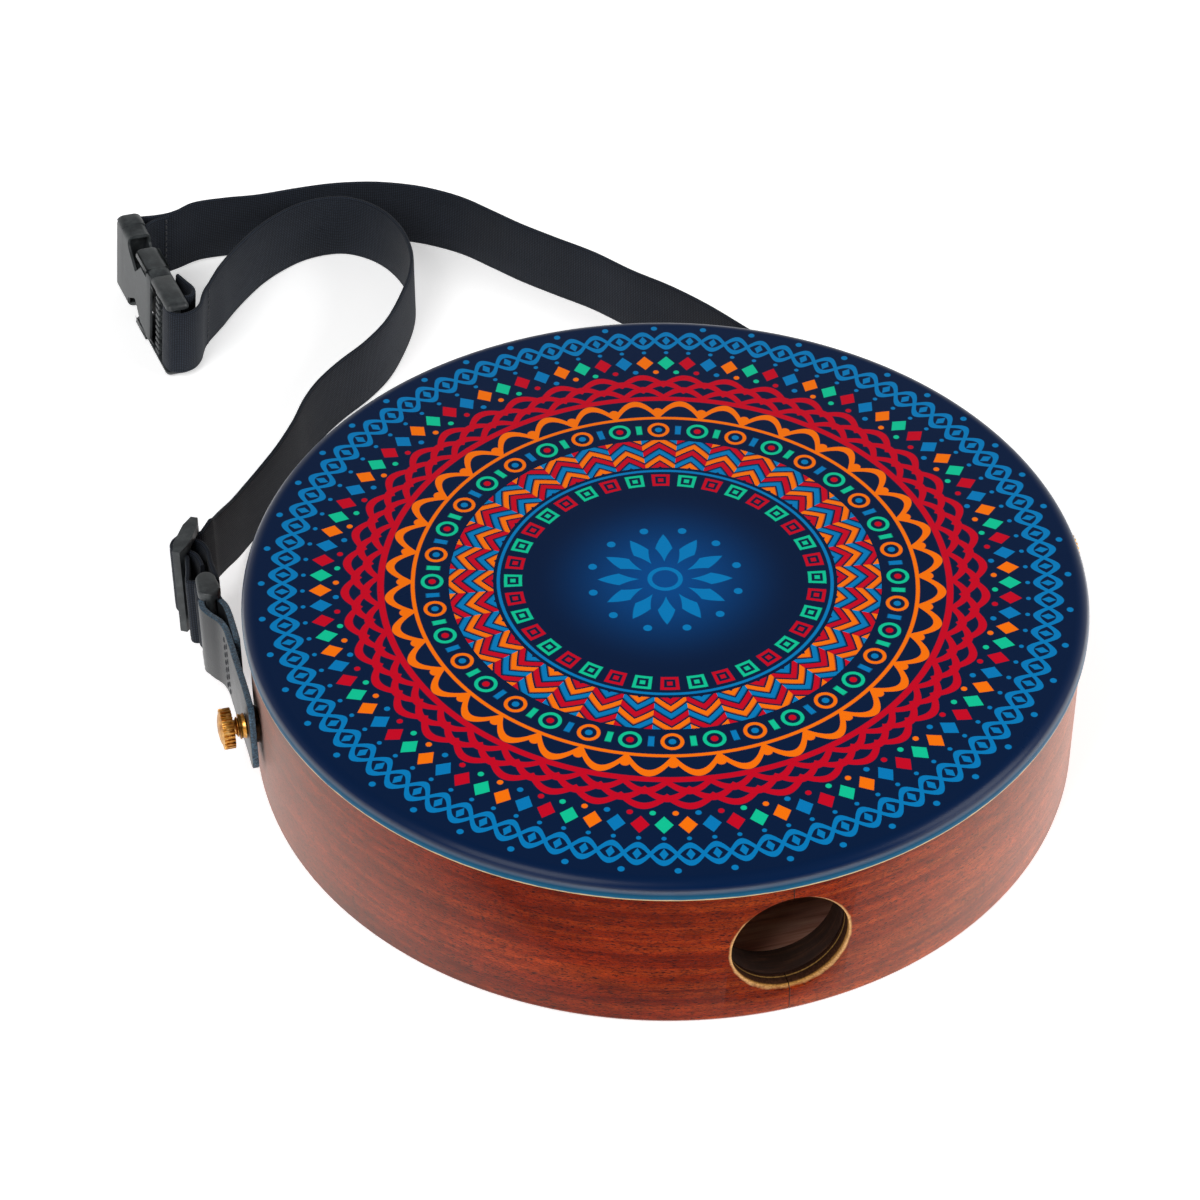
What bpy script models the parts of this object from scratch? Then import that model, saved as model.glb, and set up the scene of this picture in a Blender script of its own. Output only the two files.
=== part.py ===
"""A laptop cajon: a flat ten inch box drum with a carrying strap.

The drum stands on its back rim. Up is +Z, the sound hole faces -Y and the origin is at the
middle of the base. The two strap anchors sit either side, on the ends of the X axis, and the
strap lies on its edge on the floor behind and to the left of the drum.
"""

import math

import bmesh
import bpy
from mathutils import Matrix, Vector

mm = 0.001

# Clearance between pieces that touch
fit = 0.3 * mm

# Drum body
head_radius = 127.0 * mm
head_thickness = 6.0 * mm
head_edge_radius = 4.6 * mm
head_overhang = 1.5 * mm
shell_wall = 5.5 * mm
shell_height = 51.4 * mm
seam_width = 0.3 * mm
rim_round = 1.2 * mm
back_thickness = 4.0 * mm
back_inset = 1.6 * mm
lining_width = 8.0 * mm
lining_height = 8.0 * mm
round_steps = 120
hole_steps = 48

# Sound hole and the block that backs it
hole_radius = 17.5 * mm
hole_height = 0.535 * shell_height
hole_chamfer = 1.3 * mm
hole_block_width = 62.0 * mm
hole_block_depth = 9.0 * mm

# Snare under the head
rail_y = 34.0 * mm
rail_width = 14.0 * mm
rail_depth = 9.0 * mm
snare_wire_count = 14
snare_wire_pitch = 3.2 * mm
snare_wire_radius = 0.6 * mm
snare_wire_length = 78.0 * mm
snare_plate_depth = 12.0 * mm
snare_plate_thickness = 1.2 * mm
snare_screw_head_radius = 3.2 * mm
snare_screw_head_height = 1.6 * mm
snare_screw_shank_radius = 1.4 * mm
snare_screw_length = 8.0 * mm

# Strap anchors: each is turned this far round the shell from the sound hole
left_anchor_turn = math.radians(91.5)
right_anchor_turn = math.radians(94.0)
anchor_height = 0.545 * shell_height
anchor_block_width = 34.0 * mm
anchor_block_depth = 11.0 * mm
insert_radius = 4.0 * mm
insert_flange_radius = 5.6 * mm
insert_flange_thickness = 1.2 * mm
screw_radius = 2.5 * mm
screw_end_clearance = 1.0 * mm
collar_radius = 4.0 * mm
collar_thickness = 2.0 * mm
neck_radius = 2.5 * mm
neck_length = 1.5 * mm
knob_radius = 6.2 * mm
knob_width = 2.8 * mm
knob_dome = 1.7 * mm
knurl_count = 30
knurl_depth = 0.4 * mm

# Leather tabs
leather_thickness = 2.0 * mm
tab_width = 25.0 * mm
tab_corner = 3.0 * mm
left_tab_drop = math.radians(2.5)
right_tab_drop = math.radians(11.0)
left_bar_lift = 2.8 * mm
right_bar_lift = -4.8 * mm
ring_bar_reach = 45.0 * mm

# Strap rings: two upright bars joined by a rounded cap at each end
ring_bar_radius = 1.6 * mm
ring_bar_spacing = 9.6 * mm
ring_cap_radius = 3.6 * mm
ring_cap_thickness = 3.5 * mm
ring_cap_gap = 0.5 * mm
right_ring_turn = math.radians(17.5)

# Webbing
webbing_width = 25.0 * mm
webbing_thickness = 1.5 * mm
webbing_step = 3.5 * mm

# Slide adjuster
adjuster_length = 18.0 * mm
adjuster_thickness = 4.4 * mm
adjuster_bar_thickness = 2.4 * mm
adjuster_edge_thickness = 2.0 * mm
adjuster_end_bar = 2.2 * mm
adjuster_rail = 3.2 * mm
adjuster_centre_radius = 1.5 * mm
adjuster_lift = 5.3 * mm
adjuster_back = 74.7 * mm
adjuster_heading = math.radians(28.2)

# Side release buckle
buckle_thickness = 8.4 * mm
buckle_rail = 2.0 * mm
socket_length = 37.0 * mm
socket_wall = 1.3 * mm
socket_edge = 2.4 * mm
strap_bay_length = 7.6 * mm
strap_bar_start = 0.9 * mm
strap_bar_length = 3.0 * mm
strap_bar_thickness = 2.2 * mm
socket_web = 1.6 * mm
window_start = 13.4 * mm
window_end = 32.6 * mm
window_depth = 5.6 * mm
pad_start = 18.8 * mm
pad_inset = 0.1 * mm
plug_length = 18.0 * mm
plug_wall = 1.6 * mm
plug_shoulder = 4.8 * mm
plug_thickness = 8.0 * mm
grip_bar_start = 4.2 * mm
grip_bar_length = 3.8 * mm
grip_tooth_count = 11
grip_tooth_depth = 0.6 * mm
end_bar_radius = 1.8 * mm
end_bar_inset = 3.9 * mm
tongue_length = 24.0 * mm
tongue_height = 7.0 * mm
tongue_thickness = 3.2 * mm
prong_thickness = 2.2 * mm
prong_root_height = 8.6 * mm

# Places worked out from the sizes above
shell_radius = head_radius - head_overhang
head_bottom = shell_height + fit
total_height = head_bottom + head_thickness
shell_inner = shell_radius - shell_wall
inner_radius = shell_inner - fit
back_top = back_inset + back_thickness
floor_of_blocks = back_top + fit
top_of_blocks = shell_height
flange_face = shell_radius + fit + insert_flange_thickness
leather_face = flange_face + fit + leather_thickness
leather_middle = leather_face - leather_thickness / 2
collar_face = leather_face + fit + collar_thickness
knob_start = collar_face + fit + neck_length

# The buckle lies on its lower edge; its axis runs from the back of the socket to the plug
buckle_height = webbing_width + 2 * (buckle_rail + fit)
buckle_middle = buckle_height / 2
buckle_origin = Vector((-0.908 * head_radius, 2.059 * head_radius, buckle_middle))
buckle_axis = Vector((0.1210, -0.9927, 0.0)).normalized()
buckle_side = Vector((-buckle_axis.y, buckle_axis.x, 0.0))


def clear_scene():
    for item in list(bpy.data.objects):
        bpy.data.objects.remove(item, do_unlink=True)


def make_material(name, colour, roughness, metallic=0.0):
    material = bpy.data.materials.new(name)
    material.use_nodes = True
    shader = material.node_tree.nodes["Principled BSDF"]
    shader.inputs["Base Color"].default_value = (*colour, 1.0)
    shader.inputs["Roughness"].default_value = roughness
    shader.inputs["Metallic"].default_value = metallic
    return material


def add_object(name, bm, material, origin=Vector((0.0, 0.0, 0.0)), smooth=True):
    """Turn a bmesh in world space into an object whose origin is where it turns or sits."""
    bmesh.ops.remove_doubles(bm, verts=bm.verts, dist=1e-7)
    bmesh.ops.recalc_face_normals(bm, faces=bm.faces)
    bmesh.ops.translate(bm, verts=bm.verts, vec=-origin)
    mesh = bpy.data.meshes.new(name)
    bm.to_mesh(mesh)
    bm.free()
    if material is not None:
        mesh.materials.append(material)
    item = bpy.data.objects.new(name, mesh)
    item.location = origin
    bpy.context.scene.collection.objects.link(item)
    if smooth:
        mesh.shade_smooth()
        mesh.set_sharp_from_angle(angle=math.radians(35))
    return item


def combine(target, tool, operation="DIFFERENCE"):
    """Cut, join or trim one object with another, which stays as a guide."""
    modifier = target.modifiers.new(tool.name, "BOOLEAN")
    modifier.operation = operation
    modifier.object = tool
    modifier.solver = "EXACT"
    tool.hide_render = True
    tool.display_type = "WIRE"


def lathe(profile, steps=round_steps, closed=True):
    """Turn (radius, height) points round the Z axis; closed profiles make a ring."""
    bm = bmesh.new()
    points = [bm.verts.new((r, 0.0, z)) for r, z in profile]
    edges = [bm.edges.new((points[i], points[i + 1])) for i in range(len(points) - 1)]
    if closed:
        edges.append(bm.edges.new((points[-1], points[0])))
    bmesh.ops.spin(
        bm, geom=points + edges, cent=(0, 0, 0), axis=(0, 0, 1),
        angle=2 * math.pi, steps=steps, use_merge=True,
    )
    bmesh.ops.remove_doubles(bm, verts=bm.verts, dist=1e-7)
    return bm


def open_hoop(profile, gap):
    """A ring bent from one strip, whose two ends stop either side of -Y."""
    bm = bmesh.new()
    rings = []
    for i in range(round_steps + 1):
        turn = -math.pi / 2 + gap / 2 + (2 * math.pi - gap) * i / round_steps
        rings.append([bm.verts.new((r * math.cos(turn), r * math.sin(turn), z)) for r, z in profile])
    for a, b in zip(rings, rings[1:]):
        for k in range(len(profile)):
            nearby = (k + 1) % len(profile)
            bm.faces.new((a[k], a[nearby], b[nearby], b[k]))
    bm.faces.new(rings[0])
    bm.faces.new(rings[-1])
    return bm


def prism(outline, low, high):
    """Raise a flat outline of (x, y) points from one height to another."""
    bm = bmesh.new()
    face = bm.faces.new([bm.verts.new((x, y, low)) for x, y in outline])
    raised = bmesh.ops.extrude_face_region(bm, geom=[face])
    top = [v for v in raised["geom"] if isinstance(v, bmesh.types.BMVert)]
    bmesh.ops.translate(bm, verts=top, vec=(0, 0, high - low))
    return bm


def block(x_range, y_range, z_range):
    outline = [
        (x_range[0], y_range[0]), (x_range[1], y_range[0]),
        (x_range[1], y_range[1]), (x_range[0], y_range[1]),
    ]
    return prism(outline, z_range[0], z_range[1])


def moved(bm, matrix):
    bmesh.ops.transform(bm, matrix=matrix, verts=bm.verts)
    return bm


def rounded(item, width, segments=3, angle=40):
    modifier = item.modifiers.new("rounded", "BEVEL")
    modifier.width = width
    modifier.segments = segments
    modifier.limit_method = "ANGLE"
    modifier.angle_limit = math.radians(angle)


def arc(centre, radius, start, end, count):
    """Points on an arc in a flat frame, from one angle in degrees to another."""
    points = []
    for i in range(count):
        turn = math.radians(start + (end - start) * i / (count - 1))
        points.append((centre[0] + radius * math.cos(turn), centre[1] + radius * math.sin(turn)))
    return points


def smooth_route(stations, step):
    """Fill in a Catmull-Rom curve between (place, up) stations."""
    filled = []
    last = len(stations) - 1
    for i in range(last):
        four = [stations[max(0, min(last, i + k))][0] for k in (-1, 0, 1, 2)]
        count = max(2, math.ceil((four[2] - four[1]).length / step))
        for k in range(count):
            t = k / count
            place = 0.5 * (
                2 * four[1]
                + (four[2] - four[0]) * t
                + (2 * four[0] - 5 * four[1] + 4 * four[2] - four[3]) * t * t
                + (3 * four[1] - four[0] - 3 * four[2] + four[3]) * t ** 3
            )
            up = stations[i][1].lerp(stations[i + 1][1], t).normalized()
            filled.append((place, up))
    filled.append(stations[-1])
    return filled


def ribbon(stations, width, thickness, step):
    """A flat band that stands on edge along a route, with its two ends closed."""
    route = smooth_route(stations, step)
    bm = bmesh.new()
    rings = []
    for i, (place, up) in enumerate(route):
        before = route[max(0, i - 1)][0]
        after = route[min(len(route) - 1, i + 1)][0]
        side = up.cross(after - before).normalized() * thickness / 2
        half = up * width / 2
        corners = (place - half - side, place - half + side, place + half + side, place + half - side)
        rings.append([bm.verts.new(corner) for corner in corners])
    for a, b in zip(rings, rings[1:]):
        for k in range(4):
            bm.faces.new((a[k], a[(k + 1) % 4], b[(k + 1) % 4], b[k]))
    bm.faces.new(rings[0])
    bm.faces.new(rings[-1])
    return bm


def anchor_matrix(side, drop=0.0):
    """Local (outward, backward, up) at an anchor's screw axis to the world; side is -1 or 1."""
    turn = (left_anchor_turn if side < 0 else right_anchor_turn) - math.radians(90)
    outward = Vector((side * math.cos(turn), math.sin(turn), 0))
    backward = Vector((-side * math.sin(turn), math.cos(turn), 0))
    up = Vector((0, 0, 1))
    tilted_back = backward * math.cos(drop) - up * math.sin(drop)
    tilted_up = backward * math.sin(drop) + up * math.cos(drop)
    matrix = Matrix((outward, tilted_back, tilted_up)).transposed().to_4x4()
    matrix.translation = Vector((0, 0, anchor_height))
    return matrix


def buckle_matrix():
    """Local (along, across, up) from the back of the socket to the world."""
    matrix = Matrix((buckle_axis, buckle_side, Vector((0, 0, 1)))).transposed().to_4x4()
    matrix.translation = buckle_origin
    return matrix


def adjuster_matrix():
    """Local (towards the ring, away from the drum, up) at the adjuster to the world."""
    along = Vector((math.sin(adjuster_heading), -math.cos(adjuster_heading), 0))
    away = Vector((math.cos(adjuster_heading), math.sin(adjuster_heading), 0))
    local = Matrix((along, away, Vector((0, 0, 1)))).transposed().to_4x4()
    local.translation = Vector((leather_middle + adjuster_lift, adjuster_back, 0))
    return group_matrix(-1) @ local


ply = make_material("stained_ply", (0.35, 0.09, 0.03), 0.35)
painted = make_material("painted_head", (0.01, 0.02, 0.08), 0.25)
raw_wood = make_material("raw_wood", (0.55, 0.35, 0.18), 0.6)
steel = make_material("steel", (0.6, 0.6, 0.6), 0.3, 1.0)
brass = make_material("brass", (0.62, 0.36, 0.12), 0.3, 1.0)
leather = make_material("leather", (0.06, 0.06, 0.065), 0.45)
plastic = make_material("black_plastic", (0.02, 0.022, 0.022), 0.4)
webbing = make_material("webbing", (0.03, 0.032, 0.04), 0.8)


def own(material, name):
    """Each sub-part has a material of its own, copied from its kind."""
    copy = material.copy()
    copy.name = name
    return copy


# Drum body

def hole_cutter(name, steps_out):
    """A bore along Y through the sound hole's centre, from (radius, distance out) points."""
    profile = [(0, steps_out[0][1])] + steps_out + [(0, steps_out[-1][1])]
    bm = lathe(profile, hole_steps, False)
    moved(bm, Matrix.Rotation(math.pi / hole_steps, 4, "Z"))
    moved(bm, Matrix.Translation((0, 0, hole_height)) @ Matrix.Rotation(math.radians(90), 4, "X"))
    return add_object(name, bm, None, smooth=False)


def anchor_cutter(name, side, radius, start, end):
    bm = lathe([(0, start), (radius, start), (radius, end), (0, end)], 32, False)
    moved(bm, anchor_matrix(side) @ Matrix.Rotation(math.radians(90), 4, "Y"))
    return add_object(name, bm, None, smooth=False)


def make_shell():
    inner, outer = shell_inner, shell_radius
    profile = [(inner, 0.0), (outer - rim_round, 0.0)]
    profile += [(outer - rim_round * 0.3, rim_round * 0.3), (outer, rim_round)]
    profile += [(outer, shell_height), (inner, shell_height)]
    shell = add_object("shell", open_hoop(profile, seam_width / outer), own(ply, "shell"))
    slope = 2 * hole_chamfer
    bore = [(hole_radius, 0.85 * shell_radius), (hole_radius, shell_radius - hole_chamfer)]
    bore += [(hole_radius + slope, shell_radius - hole_chamfer + slope)]
    combine(shell, hole_cutter("shell_bore", bore))
    for side, label in ((-1, "left"), (1, "right")):
        cutter = anchor_cutter(
            f"{label}_shell_hole", side, insert_radius + fit, shell_radius * 0.85, shell_radius * 1.1,
        )
        combine(shell, cutter)


def make_head():
    edge = head_edge_radius
    low, high = head_bottom, total_height
    profile = [(0.0, low), (head_radius - 0.6 * mm, low), (head_radius, low + 0.6 * mm)]
    profile += arc((head_radius - edge, high - edge), edge, 0, 90, 6)
    profile += [(0.0, high)]
    add_object("head_panel", lathe(profile, closed=False), own(painted, "head_panel"))


def make_back():
    low, high = back_inset, back_top
    profile = [(0.0, low), (inner_radius, low), (inner_radius, high), (0.0, high)]
    add_object("back_panel", lathe(profile, closed=False), own(raw_wood, "back_panel"))


def hole_block_box():
    half = hole_block_width / 2
    return (-half, half), (-shell_radius, -inner_radius + hole_block_depth)


def make_linings():
    levels = (("back_lining", floor_of_blocks), ("head_lining", top_of_blocks - lining_height))
    x_range, y_range = hole_block_box()
    for name, low in levels:
        high = low + lining_height
        inner = inner_radius - lining_width
        profile = [(inner, low), (inner_radius, low), (inner_radius, high), (inner, high)]
        lining = add_object(name, lathe(profile), own(raw_wood, name))
        gap = block(
            (x_range[0] - fit, x_range[1] + fit), (y_range[0], y_range[1] + lining_width),
            (low - lining_height, high + lining_height),
        )
        combine(lining, add_object(name + "_gap", gap, None, smooth=False))


def inner_cylinder(name):
    profile = [(0, -shell_height), (inner_radius, -shell_height)]
    profile += [(inner_radius, 2 * shell_height), (0, 2 * shell_height)]
    return add_object(name, lathe(profile, closed=False), None, smooth=False)


def make_hole_block():
    x_range, y_range = hole_block_box()
    bm = block(x_range, y_range, (floor_of_blocks, top_of_blocks))
    item = add_object("hole_block", bm, own(raw_wood, "hole_block"))
    combine(item, inner_cylinder("hole_block_limit"), "INTERSECT")
    bore = [(hole_radius, 0.8 * shell_radius), (hole_radius, 1.1 * shell_radius)]
    combine(item, hole_cutter("hole_block_bore", bore))


def make_snare():
    rail_top = top_of_blocks - lining_height - fit
    y_range = (rail_y - rail_width / 2, rail_y + rail_width / 2)
    bm = block((-shell_radius, shell_radius), y_range, (rail_top - rail_depth, rail_top))
    rail = add_object("snare_rail", bm, own(raw_wood, "snare_rail"))
    combine(rail, inner_cylinder("snare_rail_limit"), "INTERSECT")

    plate_half = snare_wire_count * snare_wire_pitch / 2 + 6 * mm
    plate_low = rail_top + fit
    plate_high = plate_low + snare_plate_thickness
    plate_front = rail_y - snare_plate_depth / 2
    bm = block((-plate_half, plate_half), (plate_front, plate_front + snare_plate_depth), (plate_low, plate_high))
    plate = add_object("snare_wires", bm, own(steel, "snare_wires"))
    wire_top = head_bottom - fit - snare_wire_radius
    for i in range(snare_wire_count):
        x = (i - (snare_wire_count - 1) / 2) * snare_wire_pitch
        start = Vector((x, plate_front + 2 * mm, plate_high))
        bend = Vector((x, plate_front - 8 * mm, wire_top))
        end = Vector((x, plate_front - snare_wire_length, wire_top))
        combine(plate, make_wire(f"snare_wire_{i + 1}", (start, bend, end)), "UNION")

    for number, side in ((1, -1), (2, 1)):
        x = side * (plate_half - 3.5 * mm)
        hole = lathe([(0, -0.05), (snare_screw_shank_radius + fit, -0.05),
                      (snare_screw_shank_radius + fit, 0.1), (0, 0.1)], 16, False)
        moved(hole, Matrix.Translation((x, rail_y, 0)))
        cutter = add_object(f"snare_screw_hole_{number}", hole, None, smooth=False)
        combine(plate, cutter)
        combine(rail, cutter)
        make_snare_screw(f"snare_screw_{number}", x, plate_high)


def make_wire(name, places):
    """A six sided rod that bends once."""
    bm = bmesh.new()
    rings = []
    for place in places:
        ring = []
        for k in range(6):
            turn = math.radians(60 * k)
            offset = Vector((math.cos(turn), 0, math.sin(turn))) * snare_wire_radius
            ring.append(bm.verts.new(place + offset))
        rings.append(ring)
    for a, b in zip(rings, rings[1:]):
        for k in range(6):
            bm.faces.new((a[k], a[(k + 1) % 6], b[(k + 1) % 6], b[k]))
    bm.faces.new(rings[0])
    bm.faces.new(rings[-1])
    return add_object(name, bm, None, smooth=False)


def make_snare_screw(name, x, seat):
    low = seat + fit
    profile = [
        (0, low - snare_screw_length), (snare_screw_shank_radius, low - snare_screw_length + 1 * mm),
        (snare_screw_shank_radius, low), (snare_screw_head_radius, low),
        (snare_screw_head_radius * 0.8, low + snare_screw_head_height * 0.8),
        (0, low + snare_screw_head_height),
    ]
    bm = lathe(profile, 16, False)
    moved(bm, Matrix.Translation((x, rail_y, 0)))
    add_object(name, bm, own(steel, name))


# Strap anchors

def on_axis(side, distance):
    return anchor_matrix(side) @ Vector((distance, 0, 0))


def tube_on_axis(side, inner, outer_points, steps=32):
    """A turned piece with a bore: the bore's wall closes the profile."""
    first, last = outer_points[0][1], outer_points[-1][1]
    profile = [(inner, first)] + outer_points + [(inner, last)]
    bm = lathe(profile, steps)
    return moved(bm, anchor_matrix(side) @ Matrix.Rotation(math.radians(90), 4, "Y"))


def make_anchor(side, label):
    block_low = inner_radius - anchor_block_depth
    half = anchor_block_width / 2
    low = floor_of_blocks + lining_height + fit - anchor_height
    high = top_of_blocks - lining_height - fit - anchor_height
    bm = block((block_low, shell_radius), (-half, half), (low, high))
    moved(bm, anchor_matrix(side))
    item = add_object(f"{label}_anchor_block", bm, own(raw_wood, f"{label}_anchor_block"))
    combine(item, inner_cylinder(f"{label}_anchor_limit"), "INTERSECT")
    combine(item, anchor_cutter(f"{label}_anchor_bore", side, insert_radius + fit, 0.05, 0.2))

    bore = screw_radius + fit
    points = [(insert_radius, block_low), (insert_radius, shell_radius + fit)]
    points += [(insert_flange_radius, shell_radius + fit), (insert_flange_radius, flange_face)]
    bm = tube_on_axis(side, bore, points)
    add_object(f"{label}_insert", bm, own(brass, f"{label}_insert"), on_axis(side, flange_face))

    edge = 0.4 * mm
    collar_low = leather_face + fit
    points = [(collar_radius - edge, collar_low), (collar_radius, collar_low + edge)]
    points += [(collar_radius, collar_face - edge), (collar_radius - edge, collar_face)]
    bm = tube_on_axis(side, bore, points)
    add_object(f"{label}_collar", bm, own(brass, f"{label}_collar"), on_axis(side, collar_low))
    make_thumb_screw(side, label, block_low)


def make_thumb_screw(side, label, block_low):
    knob_end = knob_start + knob_width
    dome_end = knob_end + knob_dome
    seat = collar_face + fit
    profile = [(0, block_low + screw_end_clearance), (screw_radius * 0.8, block_low + screw_end_clearance)]
    profile += [(screw_radius, block_low + screw_end_clearance + screw_radius * 0.3), (screw_radius, seat)]
    profile += [(neck_radius + 0.6 * mm, seat), (neck_radius + 1.0 * mm, seat + neck_length * 0.45)]
    profile += [(neck_radius, knob_start), (knob_radius - 0.7 * mm, knob_start)]
    profile += [(knob_radius, knob_start + 0.4 * mm), (knob_radius, knob_end - 0.3 * mm)]
    profile += [(knob_radius - 0.7 * mm, knob_end), (knob_radius * 0.6, knob_end + knob_dome * 0.7)]
    profile += [(0, dome_end)]
    bm = lathe(profile, 2 * knurl_count, False)
    for vert in bm.verts:
        radius = math.hypot(vert.co.x, vert.co.y)
        turn = math.atan2(vert.co.y, vert.co.x) * knurl_count / math.pi
        if abs(radius - knob_radius) < 0.01 * mm and round(turn) % 2:
            vert.co.x *= 1 - knurl_depth / knob_radius
            vert.co.y *= 1 - knurl_depth / knob_radius
    moved(bm, anchor_matrix(side) @ Matrix.Rotation(math.radians(90), 4, "Y"))
    add_object(f"{label}_thumb_screw", bm, own(brass, f"{label}_thumb_screw"), on_axis(side, seat))


# Leather tabs and rings. Places here are (away from the screw's leather, backward) in mm. The
# outside points run from the screw end to the ring, and the inside points are the layer that
# comes back from the ring, next to the shell.

left_tab_outside = [(0, -7.5), (0, 0), (0.1, 8), (0.3, 16), (0.4, 24), (0.6, 30.5), (1.7, 35), (3.9, 38.6), (5.5, 42)]
left_tab_inside = [(-1.2, 42.0), (-1.6, 37.4), (-1.7, 31.5), (-1.7, 25.0)]
right_tab_outside = [(0, -7.5), (0, 0), (-0.1, 8), (-0.3, 15), (-0.7, 23), (-1.2, 31), (-1.7, 39)]
right_tab_inside = [(-6.5, 41.2), (-4.6, 37.0), (-3.6, 32.0), (-3.1, 27.0)]


def bar_place(side):
    lift = left_bar_lift if side < 0 else right_bar_lift
    return (leather_middle + lift, ring_bar_reach)


def group_matrix(side):
    return anchor_matrix(side, right_tab_drop if side > 0 else left_tab_drop)


def make_tab(side, label):
    outside, inside = (left_tab_outside, left_tab_inside)
    if side > 0:
        outside, inside = (right_tab_outside, right_tab_inside)
    bar = bar_place(side)
    turn_radius = ring_bar_radius + fit + leather_thickness / 2
    route = [(leather_middle + r * mm, s * mm) for r, s in outside]
    route += arc(bar, turn_radius, 0, 180, 7)
    route += [(leather_middle + r * mm, s * mm) for r, s in inside]
    matrix = group_matrix(side)
    up = matrix.to_3x3() @ Vector((0, 0, 1))
    stations = [(matrix @ Vector((r, s, 0)), up) for r, s in route]
    bm = ribbon(stations, tab_width, leather_thickness, 4 * mm)
    end = stations[0][0]
    corners = [
        edge for edge in bm.edges
        if all((v.co - end).length < tab_width * 0.52 for v in edge.verts)
        and edge.calc_length() < leather_thickness * 1.01
        and all(abs((v.co - end).dot(stations[1][0] - end)) < 1e-7 for v in edge.verts)
    ]
    bmesh.ops.bevel(bm, geom=corners, offset=tab_corner, segments=3, affect="EDGES", profile=0.5)
    item = add_object(f"{label}_tab", bm, own(leather, f"{label}_tab"), on_axis(side, leather_face))
    cutter = anchor_cutter(
        f"{label}_tab_hole", side, screw_radius + fit, leather_face - 2 * leather_thickness,
        leather_face + leather_thickness,
    )
    combine(item, cutter)


def ring_direction(side):
    turn = right_ring_turn if side > 0 else 0.0
    return Vector((-math.sin(turn), math.cos(turn), 0))


def make_ring(side, label):
    """Two round bars and two rounded caps, fused into one rigid loop."""
    bar = Vector((*bar_place(side), 0))
    along = ring_direction(side)
    across = Vector((along.y, -along.x, 0))
    frame = Matrix((across, along, Vector((0, 0, 1)))).transposed().to_4x4()
    frame.translation = bar
    matrix = group_matrix(side) @ frame
    low = tab_width / 2 + ring_cap_gap
    high = low + ring_cap_thickness
    outer_end = ring_cap_radius - ring_bar_radius
    outline = arc((0, ring_bar_spacing - outer_end), ring_cap_radius, 0, 180, 9)
    outline += arc((0, outer_end), ring_cap_radius, 180, 360, 9)
    origin = matrix @ Vector((0, 0, 0))
    item = add_object(f"{label}_ring", moved(prism(outline, low, high), matrix), own(plastic, f"{label}_ring"), origin)
    foot = add_object(f"{label}_ring_foot", moved(prism(outline, -high, -low), matrix), None)
    combine(item, foot, "UNION")
    for name, place in (("near", 0), ("far", ring_bar_spacing)):
        bar_bm = lathe([(0, -low - ring_cap_thickness / 2), (ring_bar_radius, -low - ring_cap_thickness / 2),
                        (ring_bar_radius, low + ring_cap_thickness / 2), (0, low + ring_cap_thickness / 2)], 20, False)
        moved(bar_bm, matrix @ Matrix.Translation((0, place, 0)))
        combine(item, add_object(f"{label}_ring_{name}_bar", bar_bm, None), "UNION")
    rounded(item, 0.5 * mm, 2, 50)


# Webbing routes. Places on the floor are (x, y, height of the lower edge) in mm, for the usual
# ten inch head; with another head they keep the same distance from it in proportion.
route_unit = head_radius / 127

front_floor_route = [
    (-90.8, 228.0, 1.6), (-86.0, 235.0, 0.6), (-80.0, 242.2, 0), (-72.5, 249.2, 0), (-64.5, 254.6, 0),
    (-56.0, 258.4, 0), (-47.5, 259.6, 0), (-40.0, 258.2, 0), (-33.4, 253.4, 0), (-28.4, 246.4, 0),
    (-25.4, 238.0, 0), (-24.3, 229.0, 0), (-25.1, 218.8, 0), (-28.6, 208.2, 0), (-35.0, 196.2, 0),
    (-42.4, 185.4, 0), (-51.5, 176.6, 0), (-62.4, 168.6, 0), (-71.0, 161.0, 0), (-77.6, 152.8, 0),
    (-83.9, 142.3, 0), (-91.6, 131.6, 0), (-99.2, 122.4, 0.2), (-106.2, 113.6, 1.2),
    (-111.8, 105.4, 3.4), (-116.6, 98.0, 6.6), (-120.4, 91.8, 9.2),
]

back_floor_route = [
    (-91.0, 267.4, 1.4), (-80.0, 268.4, 0.4), (-68.5, 267.6, 0), (-54.0, 267.6, 0), (-41.0, 266.8, 0),
    (-28.0, 263.9, 0), (-16.6, 259.0, 0), (-8.0, 253.4, 0), (0.4, 245.8, 0), (8.4, 235.4, 0),
    (15.6, 225.8, 0), (24.8, 215.2, 0), (35.6, 203.2, 0), (45.2, 189.8, 0), (55.6, 177.4, 0),
    (65.0, 163.6, 0), (74.6, 146.4, 0), (84.4, 129.6, 0), (95.2, 112.4, 0.4), (105.6, 96.6, 1.6),
    (112.4, 84.6, 3.0),
]

# Past the right ring's far bar, in (away from the drum, along the ring), in mm
right_arrival = [(4.6, 13.0), (3.6, 8.0), (3.1, 4.0)]
right_tail = [(-1.6, 4.0), (0.6, 8.0), (2.3, 13.0)]

# Round the adjuster, in (towards the ring, away from the drum), in mm
adjuster_in_route = [(-13.5, -3.5), (-10.4, -3.2), (-8.2, -2.95), (-7.0, -2.8), (-5.9, -2.2), (-5.1, -1.1), (-4.6, 0.4),
                     (-3.4, 3.2), (0, 4.45), (3.4, 3.2), (4.6, 0.4), (5.1, -1.1), (5.9, -2.2), (7.0, -2.8),
                     (8.6, -3.2), (10.6, -4.0), (13.5, -5.0), (17.0, -6.2)]
adjuster_out_route = [(14.1, -15.2), (10.0, -12.9), (5.6, -10.0), (1.4, -7.6), (-1.8, -4.6), (-2.75, -1.6),
                      (-2.4, 1.2), (0, 2.65), (2.4, 1.2), (2.85, -1.6), (4.1, -4.6), (6.8, -6.9), (9.0, -8.3)]

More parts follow.
